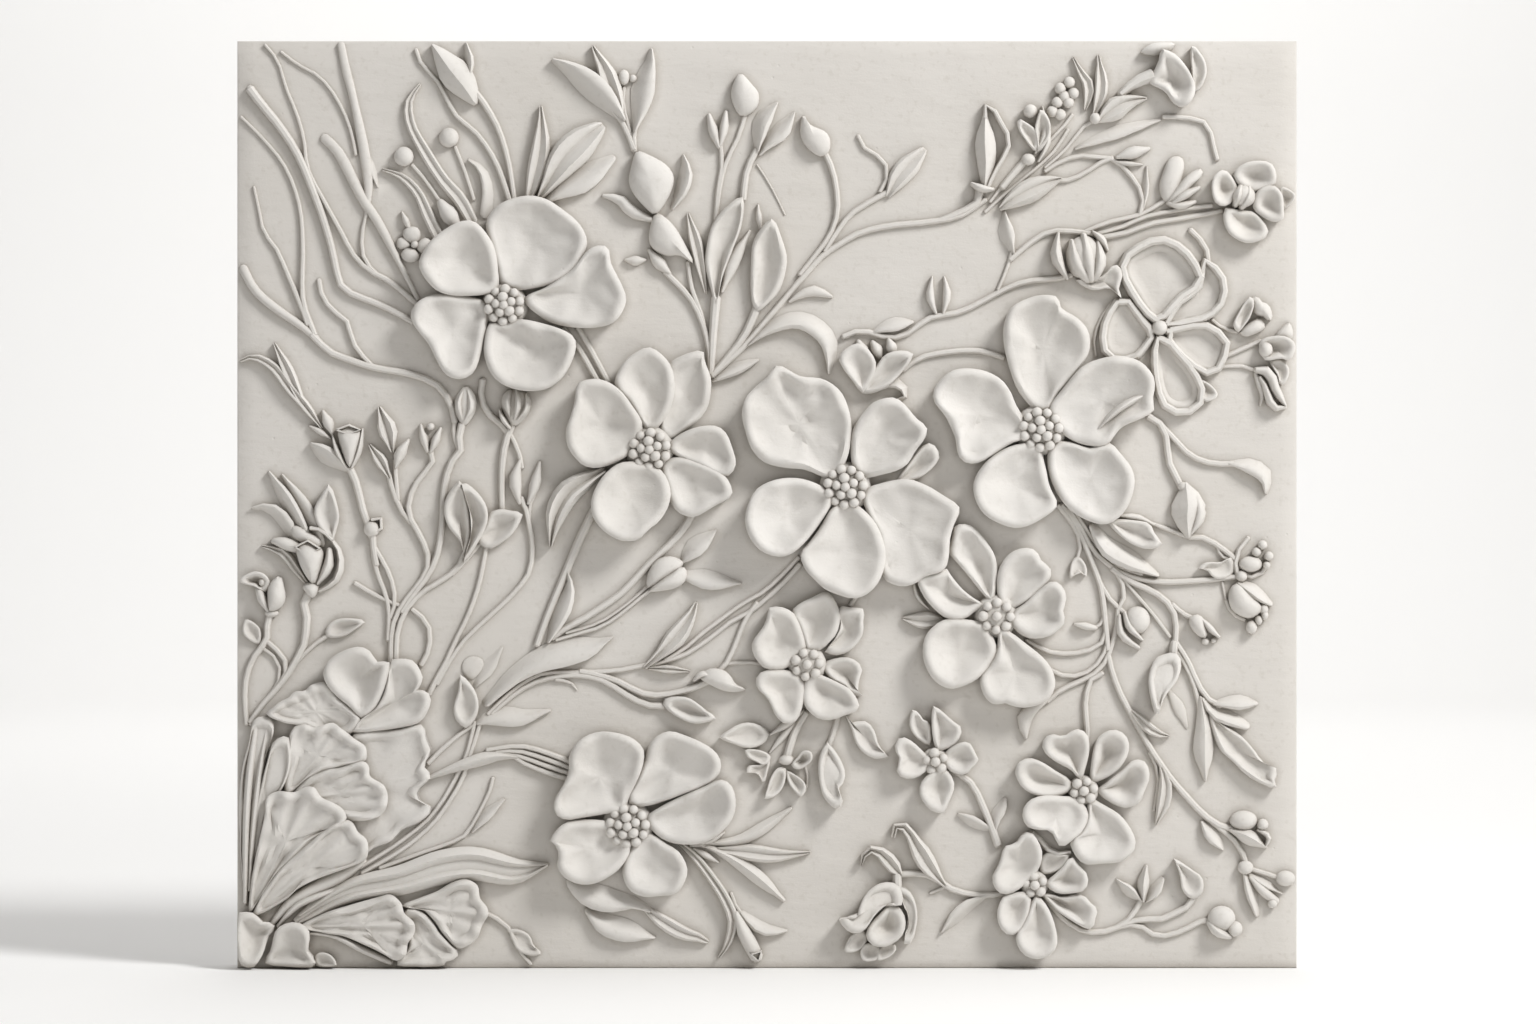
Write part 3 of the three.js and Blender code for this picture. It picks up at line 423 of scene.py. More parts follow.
def rib(places_along, shares, section, height_at, name):
    """A closed rib with the cross-section at each place, its feet under the ground and its ends drawn in."""
    rings = []
    last = len(places_along) - 1
    for k, (spot, ahead, width, along) in enumerate(places_along):
        turns = [(0.0, 1.0)]
        if k == 0:
            turns.insert(0, (-END_REACH, END_SHRINK))
        if k == last:
            turns.append((END_REACH, END_SHRINK))
        for forward, shrink in turns:
            middle = spot + ahead * forward * width
            across = Vector((-ahead.y, ahead.x)) * width / 2 * shrink
            height = height_at(width, along)
            top = [lifted(middle + across * s, height * shrink * section(s)) for s in shares]
            feet = [lifted(middle + across * s, -ROOT_DEPTH / 2) for s in (1, -1)]
            rings.append(top + feet)
    extruded(rings, sum(rings[-1], Vector()) / len(rings[-1]), name)


print("the thinnest rib is", THINNEST, "mm wide")

# %% [markdown]
# ## Leaves and stems
# A leaf call lists x, y and the width at each place of the midrib. A stem call gives only the widths at its
# two ends, and its height follows from its width, since a rolled string of plaster is about round. An open
# petal that is hollow down to the ground is a low pad with stems laid around it as a lip.

# %% Leaves and stems
LEAF_STEP = 5.6
STEM_STEP = 7.6
STEM_PROUD = 0.85
PAD_SHARE = 0.3
PAD_DISH = 0.5
LEAF_SHARES = (-1, -0.86, -0.58, -0.24, 0.1, 0.42, 0.72, 0.92, 1)
STEM_SHARES = (-1, -0.8, -0.38, 0.38, 0.8, 1)


def leaf(lift, numbers, kind):
    line = [place(x, y) for x, y in zip(numbers[::3], numbers[1::3])]
    widths = [width * UNIT for width in numbers[2::3]]
    rib(
        stations(line, widths, LEAF_STEP, 6),
        LEAF_SHARES,
        SECTIONS[kind],
        lambda width, along: lift * (0.5 + 0.5 * math.sin(math.pi * (0.08 + 0.84 * along))),
        "leaf",
    )


def stem(start_width, end_width, numbers, lift=0):
    line = places(numbers)
    growth = (end_width - start_width) / (len(line) - 1)
    widths = [UNIT * (start_width + growth * i) for i in range(len(line))]
    rib(
        stations(line, widths, STEM_STEP, 4),
        STEM_SHARES,
        rounded,
        lambda width, along: lift + width * STEM_PROUD,
        "stem",
    )


def lipped(lift, outline, width):
    """A petal that is hollow down to the ground. The second stem closes the gap that the first one leaves."""
    petal(lift * PAD_SHARE, outline, PAD_DISH)
    stem(width, width, outline, lift * PAD_SHARE)
    stem(width, width, outline[-4:] + outline[:4], lift * PAD_SHARE)


print("a leaf has", len(LEAF_SHARES), "points across and a stem", len(STEM_SHARES))

# %% [markdown]
# ## Beads and bosses
# Small round buds and the beads at a flower's heart are icospheres, pressed into the form below. An icosphere
# has faces of even size all over, so a small one looks round with few of them. A boss is a domed cushion that
# covers the petals' bases, with rows of beads on it. The rows aren't quite regular, since each bead was
# rolled and set by hand.

# %% Beads and bosses
BEAD_DIAMETER = 5.9
BEAD_GAP = 1.95
LARGE_BALL = 6.5
CUSHION_REACH = 1.3
CUSHION_SHARE = 0.8
BOSS_DOME = 3.0
CUSHION_CORNERS = 8


def ball(x, y, radius_x, radius_z, lift, depth=None):
    """An egg whose top stands out by its lift. Without a depth it reaches down into the ground."""
    spot = place(x, y)
    radius = Vector((radius_x * UNIT, depth or max(lift * 0.62, radius_x * UNIT * 0.8), radius_z * UNIT))
    shape = bmesh.new()
    bmesh.ops.create_icosphere(shape, subdivisions=3 if radius_x > LARGE_BALL else 2, radius=MM)
    bmesh.ops.scale(shape, verts=shape.verts, vec=radius)
    bmesh.ops.translate(shape, verts=shape.verts, vec=lifted(spot, lift - radius.y))
    keep_form(shape, "ball")


def boss(x, y, radius, height):
    cushion = []
    for k in range(CUSHION_CORNERS):
        turn = 2 * math.pi * k / CUSHION_CORNERS
        cushion.append(x + math.cos(turn) * radius * CUSHION_REACH)
        cushion.append(y + math.sin(turn) * radius * CUSHION_REACH)
    pod(height * CUSHION_SHARE, cushion)
    bead = BEAD_DIAMETER / 2 / UNIT
    rows = max(1, round(radius / (bead * 2) - 0.15))
    gap = radius / (rows + 0.25)
    for row in range(rows + 1):
        reach = row * gap * 0.98
        count = max(1, round(2 * math.pi * reach / (bead * BEAD_GAP)))
        for k in range(count):
            turn = 2 * math.pi * (k / count + row * 0.13)
            size = bead * (1 + 0.07 * math.sin(k * 2.4 + row))
            dome = BOSS_DOME * (row / (rows + 0.3)) ** 2
            level = height + 1.5 - dome + 0.4 * math.sin(k * 1.7 + row * 2.1)
            at_x, at_y = x + math.cos(turn) * reach, y + math.sin(turn) * reach
            ball(at_x, at_y, size, size, level, BEAD_DIAMETER / 2)


print("beads are", BEAD_DIAMETER, "mm across")

# %% [markdown]
# ## Sprays of the upper left corner
# Long bare stems sweep in from the corner, as grass bends in the wind. On the real panel they are rolled
# strings of clay, pressed down and smoothed at the feet. They are set first and low, because everything else
# lies over them. A stem call gives the width at both ends, because a rolled string tapers.

# %% Sprays of the upper left corner
stem(3, 6, [265,45, 278,62, 286,88, 297,115, 304,140, 308,170, 325,203, 340,230, 355,257, 372,272,
    392,283, 418,305])
stem(9, 6, [250,89, 262,105, 280,127, 298,155, 312,188, 322,215, 331,245, 340,283, 350,293, 385,307,
    413,322])
stem(3, 6, [241,117, 262,138, 282,162, 294,187, 301,215, 303,250, 303,300, 315,335])
stem(3, 6, [254,187, 259,210, 264,232, 277,250, 285,268, 302,308, 308,325])
stem(3, 4, [281,52, 298,65, 318,76, 333,93, 345,115, 352,135, 356,155])
leaf(3, [341,45,8, 346,70,9, 353,97,8, 364,150,10, 368,180,11, 368,200,9, 366,218,4], 'round')
stem(4, 5, [366,216, 362,235, 363,255, 370,268, 380,277, 392,283])
leaf(3.5, [324,138,10, 340,155,11, 362,198,10, 378,222,9, 397,258,6, 418,300,5], 'round')
leaf(2, [366,150,2, 372,168,8, 378,187,2], 'fold')
leaf(4, [420,85,3, 409,102,9, 411,125,10, 425,152,12, 443,180,12, 460,200,14, 472,222,12], 'groove')
leaf(4, [383,170,3, 402,177,8, 418,193,10, 428,215,12, 440,240,12], 'groove')
ball(404, 157, 10, 10, 6)
stem(4, 4, [412,165, 425,180, 440,202])
leaf(7, [440,202,8, 449,215,18, 458,228,9], 'round')
ball(449, 138, 10, 10, 6)
stem(4, 4, [455,147, 465,172, 474,200])
leaf(4, [469,160,3, 482,170,9, 488,190,11, 486,215,12], 'fold')
stem(4, 6, [416,50, 422,65, 438,82, 448,102, 457,117, 476,133, 490,152, 500,172, 511,205])
leaf(9, [475,103,8, 466,88,26, 450,68,31, 438,52,20, 433,46,4], 'ridge')
leaf(6, [469,78,5, 469,60,11, 466,44,3], 'fold')
stem(7, 5, [475,92, 487,108, 500,133, 509,165, 515,205])
leaf(4, [410,231,3, 406,221,7, 402,212,2], 'round')
pod(5, [414,244, 405,240, 403,232, 409,227, 418,228, 421,236, 418,242])
pod(4, [411,246, 402,250, 397,246, 398,239, 405,238])
pod(5, [417,244, 425,238, 432,242, 432,250, 425,254, 418,251])
pod(5, [413,248, 420,256, 416,262, 406,262, 401,255, 405,249])
ball(415, 245, 4, 4, 6)

# %% [markdown]
# ## Leaves and buds above the first flower
# These leaves fan out behind the first flower. A leaf call lists places along the midrib, each with a width,
# which is how a modeller cuts a leaf: first the length, then the swelling. The big tulip is a pod, because it
# is closed and full.

# %% Leaves and buds above the first flower
leaf(6, [527,206,5, 536,175,16, 541,150,20, 542,125,13, 541,107,3], 'groove')
leaf(10, [540,198,6, 552,180,20, 565,160,33, 582,143,32, 600,128,14], 'groove')
leaf(7, [545,203,5, 562,190,18, 580,182,25, 598,169,22, 613,158,8], 'fold')
leaf(8, [624,121,5, 608,102,20, 590,85,26, 570,70,18, 553,61,4], 'fold')
leaf(6, [622,114,4, 612,90,18, 605,70,20, 597,55,12, 593,47,3], 'groove')
leaf(7, [634,132,4, 640,108,16, 644,85,24, 650,63,16, 651,50,4], 'fold')
stem(6, 6, [612,110, 624,125, 634,150])
stem(4, 4, [624,88, 623,105, 629,128, 635,150])
stem(5, 5, [639,112, 634,135, 635,152])
ball(624, 78, 6, 8, 5)
ball(633, 79, 4, 4, 4)
pod(12, [645,208, 634,195, 629,182, 632,165, 637,152, 652,157, 667,166, 674,178, 671,193, 663,207,
    655,215])
leaf(8, [672,209,4, 682,190,13, 686,172,14, 683,156,3], 'fold')
leaf(6, [654,221,5, 632,212,12, 620,200,11, 603,196,4], 'round')
pod(9, [649,235, 655,214, 668,220, 678,232, 688,250, 694,264, 680,256, 665,256, 652,248])
leaf(4, [646,260,3, 635,261,11, 625,260,3], 'round')
leaf(5, [670,274,4, 660,264,14, 649,250,4], 'round')
stem(6, 6, [665,272, 690,298, 703,325, 709,350, 710,376])
stem(5, 5, [688,262, 692,290, 699,308, 704,325])
leaf(5, [706,293,3, 700,262,11, 695,240,13, 688,214,3], 'groove')
leaf(6, [719,148,4, 713,130,11, 709,115,4], 'round')
leaf(6, [720,146,4, 724,128,10, 726,112,4], 'round')
stem(5, 5, [720,142, 722,165, 718,190, 716,220])
pod(8, [740,116, 732,102, 732,88, 740,74, 752,85, 759,95, 757,108, 749,115])
stem(5, 5, [746,112, 738,138, 727,160, 720,185, 716,218])
leaf(7, [757,152,4, 759,135,15, 763,120,17, 777,103,3], 'fold')
leaf(6, [759,155,4, 768,143,14, 780,133,17, 794,113,3], 'fold')
stem(7, 7, [757,150, 747,170, 743,200])
petal(8, [716,308, 710,288, 705,265, 708,240, 714,222, 728,206, 743,198, 742,225, 733,250, 722,280], 3)
leaf(5, [722,292,4, 735,258,14, 750,231,3], 'round')
stem(10, 7, [716,298, 713,335, 711,374])
petal(9, [757,313, 751,300, 751,265, 753,243, 762,228, 773,220, 782,240, 787,262, 780,290, 765,308], 4,
    2, 1)
stem(9, 7, [757,308, 745,335, 730,355, 712,376])
leaf(4, [761,231,3, 759,218,7, 758,205,2], 'round')
stem(2, 2, [757,165, 770,185, 785,215])

# %% [markdown]
# ## Long branch between the first and the fourth flower
# One long branch ties the left side of the panel to the right. It could be one stem, but side shoots leave it
# on the way, so each shoot is a stem that starts inside the branch and joins it in the union.

# %% Long branch between the first and the fourth flower
pod(7, [820,157, 806,147, 800,133, 803,115, 810,125, 825,132, 830,140, 829,152])
stem(6, 6, [825,153, 833,172, 837,195, 837,215, 830,235, 818,252, 800,275])
stem(4, 5, [858,136, 864,148, 876,155, 885,163, 887,178, 880,192])
leaf(5, [888,196,6, 900,176,20, 912,163,22, 923,151,9], 'groove')
stem(6, 6, [888,192, 870,202, 850,215, 835,235, 825,252])
stem(7, 6, [712,376, 745,345, 775,310, 805,275, 820,258, 835,247, 860,233, 890,226, 930,222, 960,216,
    985,200])
stem(6, 9, [940,220, 960,213, 978,202, 980,190])
leaf(9, [984,192,5, 986,165,17, 985,140,20, 985,115,4], 'ridge')
stem(5, 5, [985,119, 985,107, 992,107, 997,118, 1005,130, 1009,143, 1003,158, 993,175, 986,192], 4)
leaf(9, [971,184,4, 981,189,9, 993,190,4], 'round')
leaf(5, [1013,254,3, 1006,233,17, 1004,212,3], 'fold')
stem(4, 4, [1012,250, 1007,268, 998,290])

# %% [markdown]
# ## Bundle of the upper right corner
# Many thin shoots run together here and end in small buds, berries and a lily. Where shoots touch, they are
# drawn as separate overlapping stems, which keeps the fine dark line between them. Berries are single balls,
# small enough to read as a cluster.

# %% Bundle of the upper right corner
ball(1030, 112, 7, 7, 8)
petal(8, [1036,153, 1024,140, 1017,128, 1018,120, 1026,124, 1032,128, 1038,136], 2)
petal(9, [1037,153, 1036,140, 1034,130, 1036,120, 1040,110, 1046,116, 1050,127, 1048,140, 1042,150], 2)
leaf(6, [1035,154,3, 1045,132,8, 1042,107,2], 'round')
leaf(6, [1038,162,3, 1048,140,7, 1043,112,2], 'round')
ball(1028, 160, 7, 6, 6)
stem(8, 8, [1026,160, 1015,172, 1002,188])
for x, y in [[1060,89], [1069,83], [1073,94], [1064,97], [1057,103], [1068,103], [1052,112], [1060,115]]:
    ball(x, y, 6, 6, 5)
leaf(4, [1085,110,3, 1089,88,12, 1080,72,8, 1073,58,2], 'groove')
leaf(5, [1092,120,3, 1101,90,14, 1098,56,3], 'groove')
leaf(7, [1098,122,4, 1120,106,24, 1134,101,15, 1146,99,3], 'groove')
leaf(4, [1075,149,3, 1115,133,14, 1160,120,3], 'fold')
ball(1095, 119, 6, 6, 6)
petal(12, [1155,88, 1147,82, 1153,72, 1158,60, 1160,51, 1176,58, 1189,76, 1194,92, 1188,105, 1179,109,
    1171,103, 1164,93], 5)
stem(8, 14, [1120,95, 1135,83, 1152,76], 2)
pod(7, [1140,53, 1152,44, 1168,43, 1175,44, 1172,50, 1158,56])
petal(8, [1192,88, 1190,48, 1198,53, 1205,65, 1205,78, 1198,92], 2, 3, 0.8)
stem(5, 5, [1163,117, 1185,118, 1203,122, 1210,132, 1213,145, 1217,160])
stem(5, 5, [1045,172, 1060,162, 1080,156, 1100,158, 1115,160, 1130,175, 1140,190, 1143,205, 1140,214])
stem(5, 5, [1055,181, 1070,180, 1085,173, 1100,163, 1112,158])
leaf(6, [1116,158,4, 1133,153,14, 1149,149,4], 'round')
leaf(4, [1115,162,3, 1128,164,6, 1142,165,2], 'round')
leaf(3, [1142,212,2, 1145,190,8, 1146,167,2], 'fold')
leaf(7, [1000,209,5, 1015,199,18, 1032,190,24, 1046,184,18, 1061,179,3], 'groove')
stem(4, 4, [990,202, 1012,175, 1035,155, 1062,128, 1072,115])
stem(4, 4, [985,212, 1010,190, 1040,165, 1055,150, 1068,130])
stem(4, 4, [1045,168, 1060,155, 1072,142, 1080,130, 1095,120])
pod(6, [1163,201, 1159,187, 1163,172, 1169,159, 1180,157, 1184,165, 1182,177, 1178,190, 1170,202])
pod(7, [1166,203, 1174,190, 1186,176, 1200,169, 1202,176, 1192,186, 1180,199])
leaf(8, [1172,204,6, 1185,195,10, 1199,188,4], 'round')
leaf(6, [1167,203,5, 1180,206,9, 1195,202,4], 'round')
stem(6, 6, [1010,260, 1030,243, 1050,232, 1075,232, 1100,236])
stem(5, 5, [1085,232, 1110,222, 1140,215, 1164,201])
stem(5, 5, [1098,234, 1125,226, 1145,217, 1180,210, 1212,206])
stem(6, 5, [1100,238, 1130,232, 1150,224, 1185,218, 1222,211])
ball(1084, 258, 19, 22, 11)
leaf(10, [1067,279,4, 1056,257,13, 1058,233,3], 'round')
leaf(9, [1092,232,3, 1101,240,9, 1107,251,3], 'round')
petal(8, [1085,288, 1075,280, 1100,277, 1113,265, 1122,273, 1118,290, 1122,300, 1110,289, 1095,291], 2)
petal(10, [1244,192, 1232,176, 1240,166, 1255,162, 1270,165, 1275,178, 1272,187, 1258,192], 4)
petal(10, [1237,191, 1232,201, 1225,207, 1215,205, 1210,192, 1212,178, 1222,171, 1231,178], 4)
petal(11, [1252,208, 1255,193, 1270,186, 1280,195, 1282,210, 1281,221, 1271,223, 1260,217], 4)
petal(7, [1281,209, 1279,188, 1294,195, 1290,205], 2)
petal(9, [1244,211, 1234,210, 1225,208, 1222,220, 1228,235, 1245,244, 1262,240, 1267,232, 1262,222,
    1254,213], 4)
ball(1243, 197, 12, 11, 11)
stem(6, 6, [1190,230, 1200,240, 1207,252, 1208,264])

# %% [markdown]
# ## Open flower of the upper right
# Unlike the other flowers, this one is almost a drawing in string: each petal is a rounded lip around a floor
# at the level of the ground. The lipped helper makes a low pad and lays a stem around it, which is what the
# modeller did too.

# %% Open flower of the upper right
lipped(9, [1158,322, 1145,312, 1130,290, 1122,272, 1125,258, 1140,247, 1160,240, 1180,248, 1193,263,
    1200,277, 1196,287, 1180,298, 1164,316], 9)
lipped(7, [1166,324, 1178,303, 1198,288, 1203,262, 1216,270, 1224,285, 1220,305, 1205,318, 1188,322], 8)
lipped(7, [1166,332, 1185,327, 1202,325, 1216,331, 1227,345, 1223,358, 1215,372, 1203,372, 1188,362,
    1174,348], 8)
lipped(9, [1158,338, 1168,342, 1180,356, 1192,370, 1201,388, 1201,400, 1194,409, 1182,413, 1168,409,
    1160,398, 1155,375, 1154,352], 8)
petal(6, [1198,380, 1210,385, 1217,395, 1210,401, 1202,400], 2)
lipped(7, [1152,333, 1140,318, 1127,301, 1117,302, 1108,315, 1103,330, 1103,345, 1108,357, 1122,360,
    1136,357, 1146,345], 8)
stem(4, 3, [1112,303, 1100,320, 1094,340, 1096,356])
ball(1159, 328, 8, 8, 9)

# %% [markdown]
# ## Leaves and buds of the left side
# Thin curling stems climb from the lower corner, with a bud on most of them. The curves need many places,
# because each stem changes direction several times. Small buds get ribs of their own, so that they don't look
# like pebbles.

# %% Leaves and buds of the left side
leaf(4, [243,268,9, 255,290,9, 275,308,9, 300,325,8, 317,339,7], 'round')
stem(7, 7, [312,335, 330,352, 350,360, 375,368, 400,372, 420,377, 437,385, 450,402, 455,422])
stem(5, 5, [319,280, 323,298, 335,312, 348,323, 352,340, 360,353, 372,366])
leaf(5, [322,428,3, 305,405,9, 290,388,10, 275,368,10, 255,357,8, 241,361,3], 'groove')
leaf(5, [310,414,3, 300,398,10, 290,375,12, 275,344,3], 'groove')
leaf(5, [333,435,3, 328,422,12, 323,411,3], 'round')
leaf(4, [331,439,2, 321,432,7, 310,426,2], 'round')
pod(9, [350,468, 342,450, 338,432, 343,427, 356,427, 362,434, 358,455])
stem(3, 3, [338,430, 344,426, 355,426, 361,430, 355,434, 343,434, 338,430], 7)
leaf(8, [347,468,3, 338,452,6, 333,435,2], 'round')
leaf(8, [352,468,3, 360,450,6, 363,429,2], 'round')
leaf(7, [349,471,4, 338,463,14, 328,456,18, 311,444,4], 'fold')
stem(8, 7, [350,468, 357,485, 363,510, 368,524, 372,537])
leaf(8, [393,452,4, 388,430,20, 380,408,4], 'groove')
leaf(6, [390,478,3, 382,462,13, 370,445,3], 'groove')
leaf(7, [396,468,3, 400,454,13, 409,440,3], 'round')
stem(6, 5, [388,472, 393,490, 400,508, 411,523])
stem(5, 5, [395,460, 396,478, 398,500])
leaf(6, [428,452,4, 424,438,9, 421,425,3], 'round')
leaf(6, [431,452,4, 436,440,9, 441,428,3], 'round')
ball(431, 427, 4, 4, 6)
stem(6, 6, [430,449, 433,460, 425,472, 415,485, 410,498, 409,515, 421,537, 428,555, 427,570, 420,582,
    408,597, 398,612, 392,630, 391,662])
pod(6, [463,426, 456,414, 455,401, 460,391, 466,386, 473,391, 477,401, 475,413, 468,424])
leaf(8, [463,420,4, 459,405,8, 463,392,4], 'round')
leaf(8, [465,421,4, 472,407,9, 468,390,4], 'round')
stem(8, 6, [462,424, 459,438, 461,449, 450,465, 444,490, 443,515, 441,535, 438,552, 432,568, 425,580,
    412,597, 402,612])
stem(5, 5, [455,420, 454,435, 459,449])
stem(7, 7, [483,380, 481,395, 487,412, 500,423, 509,434])
pod(8, [512,426, 505,416, 502,404, 504,394, 513,389, 524,391, 531,400, 529,412, 521,423])
leaf(11, [511,418,4, 508,403,10, 512,391,5], 'round')
leaf(12, [515,420,4, 519,405,10, 517,390,5], 'round')
leaf(10, [517,421,4, 527,409,8, 526,394,4], 'round')
leaf(9, [511,429,3, 504,420,6, 500,410,3], 'round')
stem(8, 6, [512,425, 505,445, 502,470, 502,512])
stem(5, 5, [508,430, 518,450, 522,468])
leaf(5, [520,504,4, 515,480,14, 521,459,3], 'round')
leaf(5, [528,504,3, 535,485,12, 540,462,3], 'round')
stem(6, 5, [521,498, 526,510, 529,525, 532,540, 532,555, 530,570, 523,582, 510,597, 495,611, 470,634,
    459,647, 449,662, 437,684])
stem(4, 4, [534,495, 530,505, 529,520])
petal(9, [465,557, 461,542, 450,528, 445,515, 446,500, 453,488, 462,481, 467,497, 470,515, 471,537], 3)
petal(11, [464,563, 471,540, 471,515, 466,496, 463,482, 475,489, 486,503, 489,518, 484,533, 474,550], 3)
stem(6, 6, [465,553, 461,563, 452,573, 437,583, 425,590, 412,602, 402,618, 397,635, 396,662])
stem(5, 5, [480,543, 466,560, 452,574])
stem(5, 6, [488,538, 484,560, 480,580, 474,600, 466,620, 456,640, 447,660, 437,678, 429,694])
ball(372, 529, 8, 8, 6)
stem(4, 4, [372,520, 379,517, 383,523, 380,531, 373,533], 3)
stem(7, 6, [373,536, 374,550, 377,565])
stem(5, 5, [373,553, 377,572, 384,590, 389,610, 388,640])
stem(5, 5, [375,548, 386,567, 392,582, 395,602, 390,618])
stem(5, 4, [355,583, 370,592, 386,600, 404,607])
stem(5, 6, [412,609, 422,617, 429,628, 430,640, 428,652, 421,665])

# %% [markdown]
# ## Large tulip of the left side with the leaves around it
# An open tulip is built from the back to the front: first the leaves behind it, then the cup, then the petals
# that curl over the cup. Later forms are a little higher, so that the union leaves the nearer petal on top.

# %% Large tulip of the left side with the leaves around it
leaf(5, [296,545,5, 286,522,14, 270,508,12, 253,508,3], 'fold')
leaf(6, [310,545,8, 299,521,13, 285,497,14, 269,472,3], 'fold')
leaf(5, [322,545,8, 311,518,14, 297,497,14, 282,475,3], 'fold')
petal(8, [334,542, 322,532, 316,518, 316,506, 322,496, 330,484, 336,496, 340,512, 340,520, 336,533], 2,
    1, 1.5)
pod(7, [318,548, 300,542, 292,536, 291,528, 294,525, 302,527, 310,532, 322,540])
stem(5, 4, [311,528, 322,530, 333,540], 5)
leaf(8, [302,549,10, 290,545,13, 280,542,12, 273,541,6], 'round')
leaf(5, [308,584,4, 295,567,9, 283,552,9, 262,546,2], 'groove')
pod(12, [313,584, 303,570, 298,556, 297,546, 306,541, 318,546, 324,552, 323,566, 318,581])
stem(3, 3, [297,547, 303,541, 315,542, 321,549, 314,554, 304,554, 297,547], 9)
leaf(10, [318,584,4, 329,566,12, 330,549,6], 'round')
leaf(8, [319,591,4, 335,581,7, 341,565,8, 339,550,6, 333,541,4], 'ridge')
pod(8, [313,598, 306,592, 303,586, 310,582, 317,583, 319,590])
stem(9, 6, [310,592, 304,602, 307,617, 306,632, 304,645, 299,655, 289,672, 278,687, 262,705, 250,722])
petal(5, [326,637, 325,632, 328,625, 337,619, 352,618, 366,621, 355,630, 345,636, 334,638], 2)
stem(5, 5, [327,636, 315,644, 303,655, 290,670, 275,690, 258,710, 251,724])
petal(9, [266,592, 255,586, 246,584, 240,580, 248,574, 257,571, 266,574, 271,582], 4)
pod(10, [270,611, 268,592, 271,582, 281,576, 285,589, 286,597, 282,607])
leaf(8, [269,611,4, 263,599,10, 259,588,8], 'round')
ball(263, 582, 4, 5, 7)
ball(272, 613, 7, 4, 5)
stem(7, 7, [270,615, 267,627, 267,638, 262,647])
petal(4, [260,644, 250,640, 244,634, 243,627, 246,619, 254,622, 261,630], 1.5)
stem(7, 5, [264,644, 252,660, 246,680, 245,700, 247,724])
stem(5, 6, [267,641, 277,650, 285,660, 287,670, 280,684])
stem(4, 4, [263,648, 274,656, 280,668, 279,680, 272,692])

# %% [markdown]
# ## First flower
# A large flower is five petals around a boss. The outline of each petal begins at its base, because the base
# sets the direction in which the petal rises. Neighbours differ in height by a few millimetres, so one petal
# visibly lies over the next.

# %% First flower
petal(15, [487,303, 470,297, 450,294, 430,297, 417,305, 412,317, 418,330, 430,345, 440,365, 448,376,
    462,380, 475,373, 482,355, 486,335, 489,318], 4)
petal(18, [497,292, 499,270, 496,250, 490,238, 480,226, 470,222, 455,226, 435,240, 424,255, 421,268,
    430,284, 443,294, 465,297], 5)
petal(14, [506,290, 496,268, 491,250, 487,225, 495,210, 510,201, 530,197, 548,201, 565,212, 580,225,
    588,242, 583,258, 570,275, 545,287], 4)
petal(16, [524,300, 548,287, 572,270, 590,250, 608,248, 612,265, 622,285, 627,300, 622,315, 612,325,
    590,329, 565,327, 545,320], 4)
petal(18, [503,324, 490,324, 485,345, 487,362, 495,378, 510,388, 530,392, 550,389, 565,377, 575,358,
    577,343, 570,334, 550,326, 522,320], 5)
boss(505, 306, 18, 13)
stem(6, 6, [563,328, 580,350, 599,384])
stem(6, 6, [578,328, 592,352, 610,386])

# %% [markdown]
# ## Second flower
# The same construction, with one low petal at the upper right that tucks behind the others. Its lift is
# smaller than its neighbours', and nothing else is needed to send it to the back.

# %% Second flower
petal(17, [636,448, 620,461, 600,468, 585,466, 575,457, 568,445, 567,430, 572,415, 576,400, 578,385,
    590,380, 605,381, 620,390, 632,405, 643,425], 5)
petal(14, [648,432, 630,405, 617,392, 616,378, 625,362, 638,352, 650,348, 662,355, 672,368, 675,388,
    671,408, 660,426], 4)
petal(10, [660,432, 664,405, 666,385, 668,366, 680,357, 702,351, 705,362, 711,378, 711,392, 708,407,
    700,419, 685,431, 670,440], 3)
petal(14, [668,448, 676,437, 695,428, 715,426, 726,433, 732,447, 736,465, 725,477, 700,466, 680,458], 4)
petal(15, [662,464, 680,457, 700,463, 722,473, 732,488, 730,498, 715,506, 700,515, 690,517, 676,510,
    666,490], 4)
petal(19, [650,464, 625,462, 610,470, 598,485, 592,502, 594,517, 605,531, 618,539, 628,541, 640,539,
    650,529, 660,521, 669,506, 671,490, 664,473], 5)
leaf(12, [604,470,8, 585,481,20, 568,493,25, 556,515,17, 551,546,3], 'groove')
boss(650, 450, 19, 13)
stem(9, 7, [594,510, 583,532, 575,550, 566,572, 554,600, 546,620, 537,645])
stem(8, 7, [693,512, 684,528, 669,545, 651,562, 636,578, 619,595, 600,608, 585,618, 567,627, 552,638])

# %% [markdown]
# ## Third flower, the largest
# The largest flower shows the most modelling. Its upper left petal has soft ribs that run out from the base,
# which the flutes and wave of the petal call make as a gentle ripple of the height.

# %% Third flower, the largest
petal(18, [836,478, 825,478, 805,470, 785,468, 765,463, 752,450, 745,430, 742,415, 745,400, 755,388,
    768,377, 778,366, 800,377, 820,379, 835,387, 845,400, 851,425, 848,455], 4.5, 11, 1.5)
petal(16, [856,476, 850,440, 858,420, 870,405, 880,400, 892,398, 902,403, 915,418, 926,428, 924,439,
    915,451, 905,466, 885,474], 4, 9, 0.7)
petal(9, [895,484, 908,464, 920,448, 929,443, 936,448, 939,458, 930,470, 915,480], 3)
petal(15, [862,492, 878,484, 905,479, 925,485, 942,495, 959,508, 953,525, 949,540, 948,556, 943,570,
    925,576, 915,583, 900,586, 884,579, 878,560, 876,535, 866,512], 4, 2, 1)
petal(18, [846,500, 832,507, 818,530, 808,543, 800,553, 805,569, 815,580, 825,589, 840,595, 853,598,
    866,594, 877,583, 883,570, 885,553, 881,535, 873,520, 860,507], 5)
